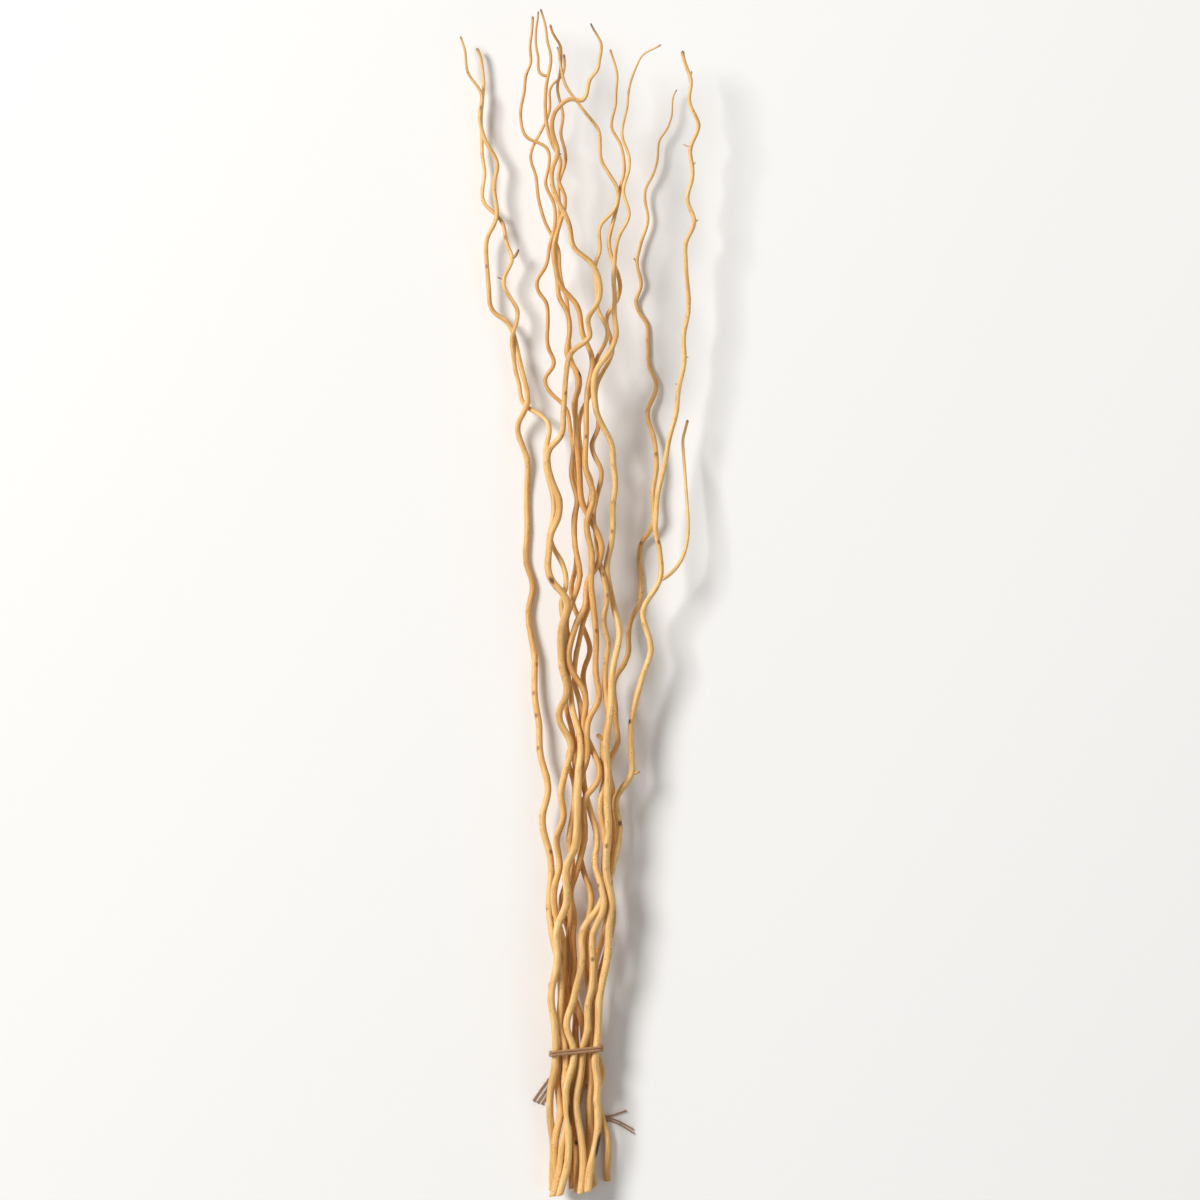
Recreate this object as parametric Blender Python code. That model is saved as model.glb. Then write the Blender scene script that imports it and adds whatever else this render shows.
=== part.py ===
"""A tied bundle of curly peeled branches, lying on a surface.

Twelve branches, each one solid with its forks, are held by a turn of twine near their cut ends.
X runs across the bundle, Y from the cut ends to the tips, and Z up from the surface.
"""
import math

import bmesh
import bpy
import numpy as np

# Routes are drawn in millimetres on a square board: x to the right and y down from its top left.
# The bundle is 1.19 m long, and the surface that it lies on is height 0.
BOARD_CENTRE_X = 580.17
BOARD_CENTRE_Y = 603.86
MM = 0.001

TIE_Y = 1050.0            # where the twine crosses the middle of the bundle
TIE_CENTRE_X = 575.0
TIE_TILT = -0.10          # the twine climbs towards the tips on the right
TWINE_RADIUS = 1.45
TWINE_BAND = 5.9          # stems within this of the middle line are inside the loop
TWINE_SPREAD = 1.15       # each turn lies this far to its side of the middle
TWINE_CLEAR = 0.45        # room between the twine and the stems
TWINE_STEPS = 36          # points of one turn
KNOT_X = 577.5
KNOT_LEVEL = 20.0         # the loop below this height is its lower side
KNOT_DROP = 2.2           # the knot hangs this far below the loop
KNOT_SIZE = (0.0062, 0.0050, 0.0030)
KNOT_SIDES = 12
KNOT_RINGS = 8
TAIL_RADIUS = 0.85
TAIL_STEP = 7.0           # spacing of the rings along a loose end

SAMPLE_STEP = 3.0         # spacing of the centre line while the branches are laid clear
CURVE_STEPS = 12          # fine steps of the curve between two drawn points
HEIGHT_BLUR = 9           # samples that the drawn heights are averaged over
GAP = 0.5                 # room that the clearing leaves between two branches
FIT_TOLERANCE = 0.9       # how far the faceted tube may leave the smooth centre line
CLEARING_TURNS = 500
SMOOTH_TURNS = 250        # the clearing steps are smoothed for this many turns
CLEARING_STEP = 2.0       # the most that a ring moves in one turn of the clearing
EASE_TURNS = 300
EASE_REACH = 12.0         # samples nearer than this are watched while easing apart
EASE_GAP = 0.4            # room that the easing leaves between two branches
EASE_PUSH = 1.4           # the easing steps are drawn out by this much, to settle sooner
EASE_LEAST = 0.05         # least distance that a push is worked out from
SHARE_EDGE = 0.001        # a sample this near to a ring asks nothing of the ring beyond it
REST_SINK = 0.6           # depth of the small flat spots that the bundle lies on
WELD = 0.00002
TRIM_LEAST = 0.00001      # branches that reach less than this below the surface are not trimmed
FLOOR_BLOCK = (2.0, 2.6, 0.1)

# Each branch: its route from the cut end to the tip, its heights (y, z) and its radii (y, r).
ROUTES = {
    "branch_01": [
        (553, 1195), (558, 1178), (561, 1160), (562, 1146), (565, 1134), (567.5, 1118), (567, 1100),
        (565, 1082), (566, 1068), (565.5, 1055), (564, 1040), (561, 1030), (559.5, 1020), (560, 1010),
        (561, 1000), (561, 985), (560, 970), (558.5, 960), (556, 950), (553, 938), (551, 925),
        (549.5, 912), (549.3, 900), (550.5, 885), (551.5, 873), (550.5, 858), (548, 846), (544.5, 835),
        (542.5, 824), (542.5, 814), (546, 802), (548.5, 791), (547.5, 781), (544.5, 770), (541.5, 760),
        (539.5, 748), (539.5, 735), (539, 722), (536.5, 710), (534.6, 692), (534.6, 672), (534.6, 655),
        (531, 636), (528.4, 619), (529, 606), (532.9, 590), (532, 580), (526.6, 565), (525.7, 552),
        (527.5, 530), (526.6, 503), (527.5, 476), (527.5, 460), (522, 444), (518, 434), (517.7, 424),
        (524, 413), (528, 402), (527, 391), (524, 379), (521, 367), (518, 354), (515.5, 342),
        (512, 330), (508, 322), (501, 318), (493.6, 313), (489.6, 305), (489, 290), (487.3, 269),
        (486, 251), (487.3, 237), (493.6, 227), (497, 217), (497, 208), (495, 198), (494, 187),
        (495, 178), (498, 169), (496.5, 160), (491, 151), (486, 143), (482.5, 133), (479.5, 119),
        (480.5, 110), (482, 102), (482, 94), (477, 86), (471, 79), (467, 72), (466, 62), (465.5, 52),
        (462.5, 43), (460.5, 37)],
    "branch_02": [
        (552.5, 1190), (552.5, 1175), (553, 1160), (553.5, 1146), (552, 1132), (550.5, 1120),
        (550, 1108), (550.5, 1092), (552.5, 1078), (555, 1065), (555.5, 1053), (556, 1040),
        (555.5, 1030), (554.5, 1020), (552.5, 1010), (551, 1000), (551.5, 990), (553.5, 980),
        (556, 970), (557.5, 960), (557.5, 948), (556, 937), (557.5, 926), (561, 917), (565.5, 908),
        (567.5, 898), (567.5, 888), (566, 878), (566, 869), (568.5, 860), (573, 852), (576, 842),
        (577, 830), (577.5, 815), (577.5, 800), (578, 785), (578.5, 770), (580, 760), (581, 750),
        (580.5, 740), (578.5, 730), (575.5, 720), (573, 710), (571.5, 700), (571, 690), (569, 680),
        (566.5, 668), (565, 656), (566, 645), (566, 634), (564, 622), (561.5, 610), (561.5, 600),
        (565, 592), (566.5, 583), (565.5, 573), (563, 565), (558.5, 556), (553.5, 549), (550.5, 540),
        (550.5, 530), (553, 520), (554, 508), (553.5, 497), (550, 485), (546.8, 472), (545.5, 460),
        (546, 449), (548, 440), (550, 430), (548.5, 423), (544, 417.5), (537, 413), (530, 409.5),
        (524, 405), (520.5, 398), (520, 389), (518, 380), (515.5, 371), (514, 360), (512.5, 349),
        (511.5, 340), (513, 333), (516, 326), (518, 317), (517.5, 309), (513, 302), (507.5, 294),
        (503.5, 287), (503, 281), (506.5, 273), (511.5, 264), (513.5, 258), (509.5, 251),
        (506, 243), (505, 234), (504, 226), (500, 219), (494, 213), (487.5, 208), (483, 202),
        (481.8, 195), (483, 186), (485, 175), (483.8, 165), (482, 155), (482, 145), (481.5, 130),
        (481, 116), (482.5, 104), (483, 94), (484, 83), (482.5, 70), (481.5, 60), (479.5, 53),
        (476.5, 48.5)],
    "branch_03": [
        (557.5, 1188), (556, 1173), (555, 1160), (554.5, 1147), (556, 1134), (559, 1122), (561, 1112),
        (559.5, 1100), (558, 1088), (557.5, 1076), (559.5, 1064), (560, 1053), (560.5, 1035),
        (561.5, 1015), (562, 995), (562.5, 975), (563, 960), (563.5, 946), (562, 935), (559, 925),
        (556, 914), (554, 902), (554, 890), (556, 880), (559, 872), (560, 862), (558.5, 853),
        (556.5, 843), (557, 834), (561, 826), (564, 816), (563, 807), (561, 797), (561.5, 787),
        (564, 777), (566.5, 767), (569.5, 757), (571.5, 748), (570, 739), (565, 731), (560.5, 723),
        (558.5, 714), (561, 706), (566, 698), (567.5, 690), (566, 680), (562, 668), (561, 655),
        (560.5, 642), (561, 631), (563, 622), (566, 614), (568, 606), (566, 597), (560, 590),
        (554, 584), (549.5, 576), (547.8, 567), (548.5, 556), (549.5, 545), (550, 537), (552.5, 530),
        (557, 522), (559.5, 511), (559.5, 500), (556, 491), (552, 482), (548.5, 470), (547.5, 459),
        (549, 450), (555, 444), (561, 438), (563.5, 428), (563.5, 415), (564.5, 400), (565.5, 385),
        (567, 370), (569, 358), (573, 352), (580, 347), (588, 342), (591, 337), (589.5, 331),
        (587, 324), (589, 317), (594, 311), (599, 302), (600.5, 292), (599, 281), (595, 270),
        (588.5, 262), (581, 257), (574, 251), (571.5, 243), (570.5, 232), (567.5, 222), (563, 213),
        (559, 206), (555, 197), (552.5, 188), (551.5, 180), (552.5, 171), (556, 163), (558.5, 156),
        (557, 149), (553.5, 140), (552, 130), (553, 121), (556, 114), (561, 109), (567, 104),
        (573, 102), (578, 105), (583, 106), (586.5, 100), (588, 92), (589, 84), (593, 79),
        (598, 76), (598.5, 68), (600, 60), (602, 52), (600.5, 46), (596.5, 39), (593, 34), (590.5, 28)],
    "branch_04": [
        (572, 1188), (572, 1176), (571, 1160), (569.5, 1145), (568, 1130), (567.5, 1110), (568, 1090),
        (568, 1070), (567.5, 1053), (567.5, 1040), (566, 1025), (565.5, 1012), (567.5, 1000),
        (566, 985), (564.5, 970), (565, 956), (567, 944), (569.5, 932), (570.5, 920), (570, 908),
        (568, 898), (567, 888), (567, 876), (569, 864), (572, 853), (574.5, 841), (575.5, 827),
        (576.5, 812), (577.5, 797), (577.5, 783), (576, 772), (574.5, 760), (576, 748), (579, 735),
        (582, 720), (584.5, 707), (586, 694), (583.5, 684), (583, 674), (585.5, 664), (589.5, 655),
        (590, 646), (586.5, 636), (583, 627), (579, 618), (575, 610), (572, 600), (571, 588),
        (573.5, 577), (576, 567), (576.5, 555), (575, 540), (575, 525), (576, 512), (578, 500),
        (577.5, 488), (576, 474), (573.5, 460), (573, 450), (572, 440), (570, 430), (569.5, 420),
        (567.5, 411), (563.5, 405), (558, 400), (553, 396), (548, 390), (544.5, 383), (545, 377.5),
        (549, 373), (553.5, 368), (555, 361), (551, 355), (548, 348), (547, 338), (548, 327),
        (548, 315), (547, 303), (543, 298.5), (538, 293), (536.5, 286), (537, 280), (541, 275),
        (546, 268), (548.5, 258), (549.5, 247), (552.5, 238), (555, 228), (555.5, 217), (555, 208),
        (552, 200), (549, 194), (546, 189), (545, 183), (547.5, 175), (549.5, 165), (549.5, 155),
        (548, 149.5), (543, 146), (536, 143.5), (529, 141), (524, 136), (522, 128), (520.5, 117),
        (521.5, 107), (524, 97), (525, 90), (525.5, 78), (528, 72), (532, 64), (531, 58), (530, 48),
        (532, 35), (533, 18)],
    "branch_05": [
        (577.5, 1191), (577, 1178), (577, 1165), (577, 1152), (575, 1140), (573, 1120), (571.5, 1100),
        (572, 1085), (575, 1068), (577, 1053), (575.5, 1040), (575, 1030), (576, 1018), (575, 1004),
        (572, 992), (569.5, 980), (567.5, 968), (567.5, 956), (569.5, 944), (569, 932), (566, 921),
        (562, 911), (561.5, 901), (563.5, 891), (567, 882), (571, 872), (572.5, 862), (570.5, 852),
        (569, 841), (570, 830), (572, 818), (574, 805), (575, 793), (574.5, 782), (571.5, 773),
        (568.5, 764), (567.5, 755), (571, 747), (573.5, 738), (571.5, 728), (568.5, 718), (566, 707),
        (566, 695), (567, 680), (567, 665), (568.5, 650), (569, 640), (566.5, 630), (566, 620),
        (569, 610), (574, 598), (577.5, 588), (580, 577), (579.5, 567), (577, 556), (575, 545),
        (574, 532), (574, 520), (575.5, 511), (578, 503), (577, 496), (573.5, 485), (571.5, 476),
        (572, 465), (574, 450), (575, 430), (575.5, 410), (576.5, 395), (578, 382), (575, 370),
        (570.5, 358), (569, 342), (569, 325), (568, 312), (567, 302), (564.5, 292), (561, 280),
        (559.5, 268), (559.5, 258), (558.5, 249), (554.5, 241), (550, 233), (545, 223), (541.5, 212),
        (539, 202), (537.5, 192), (537, 182), (535, 173), (531.5, 165), (530.3, 158), (532, 150),
        (535.5, 143), (539.5, 136), (543.5, 128), (547, 121), (549.5, 114), (550.5, 106),
        (549.5, 97), (550, 89), (554.5, 84), (560, 81), (564, 75), (565, 66), (564, 56)],
    "branch_06": [
        (580.5, 1184), (579.5, 1168), (580.5, 1152), (580, 1138), (578, 1125), (576.5, 1112),
        (578, 1100), (581, 1089), (584, 1077), (584.5, 1065), (583.5, 1053), (584, 1038), (583, 1024),
        (579, 1012), (575, 1000), (572, 987), (573, 973), (574, 960), (573.5, 948), (572.5, 937),
        (573.5, 926), (574, 915), (572.5, 905), (570, 896), (571, 887), (574, 879), (577, 870),
        (579.5, 861), (582, 851), (584.5, 840), (585, 828), (584, 815), (583, 804), (586, 795),
        (592, 789), (597.5, 781), (600, 772), (598.5, 763), (594, 753), (590, 744), (586, 735),
        (583.5, 724), (585, 712), (586, 702), (585, 692), (581, 684), (575, 676), (570, 666),
        (568.5, 657), (569.5, 648), (572, 638), (575, 628), (578, 619), (583, 612), (586.5, 603),
        (586, 593), (587.5, 582), (591.5, 574), (597, 566), (601, 556), (602, 546), (598, 535),
        (593.5, 525), (588.5, 516), (583.5, 507), (581, 498), (580, 485), (579.5, 470), (578.5, 458),
        (577.5, 445), (577, 432), (576, 420), (574, 410), (575, 400), (578, 392), (580, 383),
        (578, 374), (573, 367), (568, 359), (566.5, 350), (569, 340), (570, 330), (568.5, 317),
        (565, 308), (559.5, 301), (558, 290), (557, 277), (556, 264), (555.5, 250), (557, 238),
        (559, 226), (559.5, 214), (559.5, 203), (558.5, 193), (559, 184), (562, 175), (565.5, 166),
        (566, 157), (564.5, 149), (561.5, 141), (560.5, 133), (562.5, 125), (563.5, 117),
        (561.5, 109), (559.5, 101), (557.5, 93), (557.5, 86), (560, 78), (561, 68), (561.5, 58),
        (561, 48), (557, 42), (552.5, 36), (550.5, 27)],
    "branch_07": [
        (559.5, 1194), (563, 1181), (566.5, 1169), (568.5, 1155), (568.8, 1140), (568.3, 1126),
        (567, 1112), (566, 1101), (565.8, 1091), (567.5, 1081), (570.5, 1071), (573.5, 1060),
        (574, 1050), (572.5, 1042), (569, 1034), (566.5, 1026), (567, 1018), (570, 1009), (573.5, 1000),
        (575.5, 990), (578, 980), (580.5, 970), (582, 960), (582, 948), (581, 938), (582.5, 929),
        (587, 921), (593, 914), (598.5, 907), (602, 900), (604.5, 891), (608, 881), (612, 869),
        (614.5, 858), (617, 847), (619, 836), (619.5, 826), (617.5, 816), (615.5, 806), (616, 797),
        (621, 789), (627.5, 781), (632, 773), (631.7, 762), (631, 748), (630.8, 735), (631.5, 722),
        (633.5, 710), (636.5, 697), (640, 684), (644, 671), (648.5, 660), (651, 650), (649.5, 640),
        (646, 629), (643, 619), (642.5, 610), (647.5, 600), (654, 591), (659, 582), (661.3, 571),
        (660, 557), (658.5, 545), (656, 535), (654.8, 527), (656, 515), (656.5, 502), (658, 492),
        (660.5, 482), (663.5, 470), (666, 457), (668, 444), (671, 432), (674.2, 421), (676.6, 410),
        (677.3, 398), (678.7, 387), (681.3, 376), (683.7, 366), (684.3, 355), (683, 343),
        (683.5, 333), (686, 323), (688, 313), (688.3, 300), (687.3, 288), (685.8, 275), (685.3, 262),
        (684.5, 250), (686, 241), (691, 233), (694.5, 224), (693, 217), (688.3, 208), (686.3, 201),
        (688, 192), (691.5, 183), (692.3, 172), (691, 163), (689, 153), (691, 146), (695.5, 137),
        (699, 128), (696, 120), (691, 111), (688, 102), (689, 95), (691, 87), (690, 79), (686, 70),
        (683, 61), (682, 53)],
    "branch_08": [
        (581, 1192), (582, 1180), (583, 1168), (583, 1155), (582, 1142), (580, 1130), (577.5, 1117),
        (576, 1104), (576.7, 1092), (579.5, 1080), (581.5, 1067), (582.5, 1053), (583, 1045),
        (585.5, 1037), (588, 1028), (588, 1018), (587.5, 1008), (589, 998), (592, 988), (593, 978),
        (593, 965), (592.5, 952), (592, 940), (594, 929), (599, 919), (603, 909), (604, 899),
        (602, 889), (600, 880), (596.5, 871), (594.5, 860), (596, 850), (597, 838), (595, 825),
        (591, 813), (588, 802), (585, 791), (583.5, 781), (583, 771), (583, 760), (582.5, 748),
        (582, 735), (581.5, 722), (581, 710), (579.5, 700), (576.5, 691), (574.5, 682), (574.5, 672),
        (575.5, 660), (577, 650), (579.5, 640), (581.5, 629), (584.5, 618), (588.5, 608), (590.5, 597),
        (590.5, 583), (591, 568), (590.5, 553), (588.5, 540), (587, 525), (588, 512), (590.5, 501),
        (591.5, 490), (591.5, 481), (588, 473), (584, 466), (581.5, 457), (580, 444), (578.5, 431),
        (579.5, 419), (582, 411), (586.5, 403), (589.5, 396), (592.5, 386), (594.5, 376), (595, 366),
        (598, 357), (602.5, 349), (606.5, 341), (608, 333), (606, 326), (601.5, 319), (597.5, 311),
        (596.5, 301), (597, 290), (595.5, 279), (594.3, 268), (597.5, 260), (600.3, 252), (599.5, 243),
        (598.5, 233), (600.5, 226), (606.5, 220), (613, 214), (617, 206), (618.5, 196), (616, 187),
        (611, 180), (606.5, 172), (601.5, 165), (600, 155), (600, 140), (598, 131), (591.5, 123),
        (585, 115), (579.5, 108), (574.5, 101), (569.5, 95), (564.5, 86), (562.3, 76), (560, 63),
        (557.8, 50)],
    "branch_09": [
        (588, 1190), (588.5, 1180), (590, 1168), (592.5, 1157), (595.5, 1145), (597.5, 1132),
        (598, 1120), (597.5, 1108), (597, 1096), (598, 1085), (596.7, 1073), (595, 1062),
        (595.5, 1053), (597.5, 1040), (598.5, 1025), (598.5, 1012), (599, 1000), (601, 988),
        (603.5, 975), (606.5, 962), (608.3, 950), (608.5, 938), (608.5, 926), (609.8, 916),
        (611.5, 906), (611.5, 897), (609.5, 887), (607, 877), (606, 864), (606.5, 850), (608, 836),
        (608.5, 822), (607.3, 808), (607, 795), (608, 782), (608, 770), (606.5, 758), (606, 746),
        (607.5, 733), (609.5, 720), (611, 707), (611, 695), (611.5, 680), (613, 667), (615.5, 655),
        (618, 645), (619.5, 634), (618.5, 624), (615.5, 614), (613, 603), (610.5, 592), (608, 580),
        (606.5, 568), (608, 558), (610.5, 548), (612, 537), (613, 525), (612.5, 512), (613, 500),
        (615, 490), (615.3, 478), (613, 467), (613, 455), (611, 443), (606, 433), (600, 422),
        (595.5, 410), (594, 395), (593.5, 383), (596, 372), (601, 364), (607, 357), (612, 349),
        (616, 338), (616, 328), (614, 317), (614.5, 305), (614.5, 295), (613.5, 285), (613.5, 275),
        (614.5, 264), (615.8, 250), (618, 240), (622.5, 231), (627.5, 223), (629.5, 215), (627, 207),
        (624, 199), (622.7, 191), (625.3, 183), (628.3, 174), (629.6, 163), (627.3, 153),
        (623, 144), (621.5, 136), (622.7, 127), (625.3, 117), (627.5, 107), (628, 96), (630.3, 85),
        (633.3, 76), (637.3, 67), (641, 58.5), (647, 54.5), (655, 51), (661, 47.5)],
    "branch_10": [
        (583.5, 1189), (584, 1178), (585.5, 1163), (588, 1148), (589.7, 1133), (589.7, 1118),
        (589.7, 1104), (590.5, 1090), (591.3, 1078), (590.3, 1065), (589.5, 1053), (590.5, 1040),
        (592, 1025), (592.5, 1010), (591, 998), (589, 986), (587, 973), (585.7, 960), (585.7, 945),
        (586.3, 932), (588, 920), (590, 910), (591.5, 900), (590, 889), (586, 878), (582.3, 866),
        (580, 856), (580, 845), (580.5, 830), (579, 815), (577.5, 800), (578, 790), (579.7, 780),
        (583, 771), (586.3, 762), (588, 752), (587.5, 741), (587, 730), (588.7, 719), (593, 711),
        (598, 703), (599.3, 693), (597.3, 683), (595.7, 672), (595.5, 660), (596.3, 645), (596, 632),
        (594.5, 617), (593, 602), (591.3, 590), (591.3, 578), (592, 566), (592, 553), (589, 541),
        (586.7, 530), (586.7, 521), (590, 511), (593.3, 502), (593.5, 493), (590.5, 484), (586.7, 474),
        (585, 464), (585.5, 450), (586.3, 437), (586.3, 420), (586.5, 405), (587.5, 391), (590, 379),
        (592.3, 368), (592, 357), (588, 347), (583.3, 338), (581, 327), (580, 315), (576, 305),
        (570, 298), (563, 291), (559, 283), (556.5, 273), (554.5, 262), (553.7, 250), (555.5, 240),
        (559, 229), (562, 219), (565, 210), (565.7, 202), (564, 194), (560, 187), (557.7, 180),
        (560, 171), (561.5, 164), (558.5, 157), (554, 150), (550, 140), (547.5, 130), (546, 120),
        (545.5, 108), (545.7, 98), (546.5, 88), (548, 79), (550.3, 71), (551.5, 62), (550, 53),
        (547.5, 45), (546.5, 33), (544, 22), (540.7, 12)],
    "branch_11": [
        (594.7, 1186), (592, 1174), (592.5, 1160), (595.5, 1145), (597, 1125), (597, 1105),
        (598.2, 1089), (601.8, 1077), (601.4, 1066), (596.3, 1053), (595, 1040), (595.2, 1025),
        (595, 1010), (594.5, 996), (594, 983), (594, 970), (596.5, 958), (600, 946), (604, 933),
        (607, 920), (607.5, 907), (606.5, 893), (605, 880), (604, 868), (605, 855), (605.5, 841),
        (604, 829), (601, 818), (600, 808), (601, 797), (603.5, 786), (605.5, 775), (604, 764),
        (602.5, 753), (603, 742), (605.5, 732), (608, 722), (608.5, 712), (606.7, 700), (605, 688),
        (605, 675), (605.5, 662), (607.5, 652), (608.5, 643), (605.7, 632), (603.5, 622), (604.5, 612),
        (607, 602), (606.5, 592), (604.5, 582), (602, 572), (599, 561), (597.5, 550), (596.5, 540),
        (595, 529), (593, 518), (594.3, 508), (598, 492), (601, 481), (601.7, 471), (598, 463),
        (594, 456), (591.3, 447), (592.5, 441), (597, 433), (599, 424), (597, 411), (595, 396),
        (597, 384), (602, 374), (608, 364), (612.5, 353), (611, 341), (607.5, 331), (605.5, 322),
        (607.5, 315), (613, 308), (617.5, 300), (620, 291), (619.7, 282), (617, 274), (613.7, 266),
        (611, 257), (608.5, 247), (609, 238), (612, 228), (614.7, 217), (617.3, 207), (619, 197),
        (620.7, 187), (623.5, 178), (624.3, 168), (623, 158), (621, 148), (617, 140), (611.5, 132),
        (611, 125), (613.7, 115), (616, 105), (615.7, 95), (617.3, 82), (616.5, 72), (613, 62),
        (610, 52)],
    "branch_12": [
        (607.2, 1181), (607.3, 1168), (608, 1155), (608, 1140), (605, 1127), (601, 1114), (597.5, 1100),
        (595, 1085), (593.5, 1068), (592.3, 1053), (594, 1038), (596, 1022), (597.3, 1008), (597.3, 993),
        (598.5, 980), (601.5, 968), (605.5, 955), (609, 942), (611.3, 929), (613, 918), (613, 908),
        (611.5, 897), (610, 885), (609.5, 872), (611, 860), (613.5, 848), (614.5, 836), (614, 820),
        (613, 804), (612.5, 792), (611, 782), (608.5, 773), (608.5, 763), (611, 756), (615, 750),
        (618, 742), (618, 734), (615.7, 725), (615.7, 713), (614.7, 702), (613.3, 692), (613.7, 682),
        (616.5, 674), (621.3, 669), (626, 660), (629.3, 650), (628.3, 642), (628.3, 634), (629.3, 625),
        (632.3, 616), (638, 607), (640.5, 597), (641.3, 583), (641, 572), (639.2, 562), (639.5, 552),
        (641, 543), (645, 537.5), (650, 531), (653, 524), (654.5, 515), (653.7, 507), (652.3, 497),
        (653, 488), (655.3, 477), (656.5, 466), (656, 455), (655, 445), (653, 434), (649.3, 425),
        (647, 415), (648, 407), (653, 399), (656, 390), (656.7, 381), (653, 375), (649.3, 368),
        (648, 360), (648.7, 350), (647.7, 340), (648.5, 330), (646, 321), (641, 316), (637, 308),
        (635, 300), (638, 295), (641, 288), (641.3, 279), (638.5, 273), (637, 265), (637, 257),
        (639, 252), (641, 242), (645, 232), (648, 222), (648, 214), (645.3, 205), (644.7, 196),
        (645.5, 188), (651, 179), (655, 170), (657.5, 160), (658, 150), (658.5, 141), (662, 136),
        (667, 130), (670, 122), (672.3, 115), (672, 106), (672.7, 98), (674.3, 93), (677, 90)],
}

HEIGHTS = {
    "branch_01": [(1195, 24), (1053, 31), (990, 31), (955, 28), (900, 26), (800, 20), (700, 12),
                  (610, 4), (560, 2.0), (490, 2.0), (450, 8), (406, 19), (370, 20), (333, 14), (300, 14),
                  (214, 19), (140, 17), (90, 17), (37, 20)],
    "branch_02": [(1190, 2.8), (1165, 4), (1110, 24), (1053, 31), (1000, 32), (950, 36), (925, 40),
                  (890, 44), (830, 46), (735, 44), (700, 42), (655, 42), (620, 46), (560, 46),
                  (500, 46), (465, 42), (448, 36), (430, 28), (413, 18), (405, 13), (370, 15), (333, 21),
                  (260, 20), (214, 12), (140, 9), (48, 10)],
    "branch_03": [(1188, 15), (1165, 21), (1100, 24), (1053, 23), (950, 24), (925, 28), (880, 34),
                  (840, 38), (790, 40), (745, 44), (714, 46), (690, 50), (655, 52), (620, 56),
                  (597, 58), (537, 56), (500, 60), (445, 66), (400, 72), (355, 78), (290, 84), (190, 86),
                  (130, 94), (106, 100), (28, 108)],
    "branch_04": [(1188, 12), (1120, 14), (1053, 18.8), (1000, 20), (930, 24), (800, 27), (700, 27),
                  (646, 23), (577, 25), (510, 28), (460, 33), (415, 31), (380, 30), (300, 34), (250, 42),
                  (150, 42), (18, 40)],
    "branch_05": [(1191, 24), (1140, 20), (1053, 23), (1000, 19), (920, 20), (870, 23), (830, 31),
                  (750, 32), (650, 40), (600, 44), (560, 46), (510, 48), (440, 44), (370, 40), (310, 36),
                  (240, 32), (143, 33), (90, 40), (56, 45)],
    "branch_06": [(1184, 10), (1120, 12), (1053, 15.5), (1010, 17), (960, 24), (888, 28), (860, 38),
                  (795, 42), (772, 44), (744, 40), (700, 44), (655, 48), (600, 46), (575, 44), (546, 48),
                  (515, 47), (480, 50), (440, 54), (400, 55), (357, 55), (300, 54), (215, 50), (150, 50),
                  (27, 55)],
    "branch_07": [(1194, 31), (1053, 31), (980, 40), (915, 40), (895, 34), (878, 30), (828, 31), (722, 34),
                  (607, 38), (515, 41), (400, 40), (250, 45), (53, 55)],
    "branch_08": [(1192, 16), (1110, 24), (1053, 31), (990, 38), (905, 44), (881, 42), (850, 36),
                  (813, 32), (775, 30), (722, 36), (690, 34), (650, 38), (600, 42), (500, 46), (455, 42),
                  (410, 44), (366, 52), (335, 62), (290, 66), (226, 64), (190, 64), (107, 74), (50, 76)],
    "branch_09": [(1190, 29), (1053, 31), (950, 38), (850, 42), (750, 46), (712, 46), (620, 43), (590, 40),
                  (470, 44), (440, 50), (400, 60), (364, 66), (265, 66), (190, 65), (143, 66), (47, 64)],
    "branch_10": [(1189, 14), (1110, 18), (1053, 23), (985, 26), (900, 30), (860, 28), (830, 33),
                  (790, 40), (765, 44), (741, 48), (650, 50), (566, 52), (511, 56), (450, 58),
                  (367, 62), (262, 62), (183, 60), (12, 68)],
    "branch_11": [(1186, 8), (1100, 14), (1053, 23), (970, 26), (920, 30), (870, 34), (808, 38), (760, 40),
                  (735, 48), (712, 53), (662, 52), (592, 50), (560, 40), (508, 45), (471, 50), (427, 50),
                  (365, 57), (340, 52), (320, 52), (285, 58), (250, 58), (190, 60), (143, 58), (52, 60)],
    "branch_12": [(1181, 2.6), (1158, 3.6), (1130, 6.5), (1110, 8.5), (1085, 11.5), (1053, 15.5),
                  (960, 18), (850, 20),
                  (762, 24), (713, 22), (665, 19), (640, 14), (607, 8), (590, 1.6), (555, 1.6), (540, 7),
                  (515, 15), (450, 12), (400, 8), (358, 1.2), (322, 1.2), (280, 6), (90, 12)],
}

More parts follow.
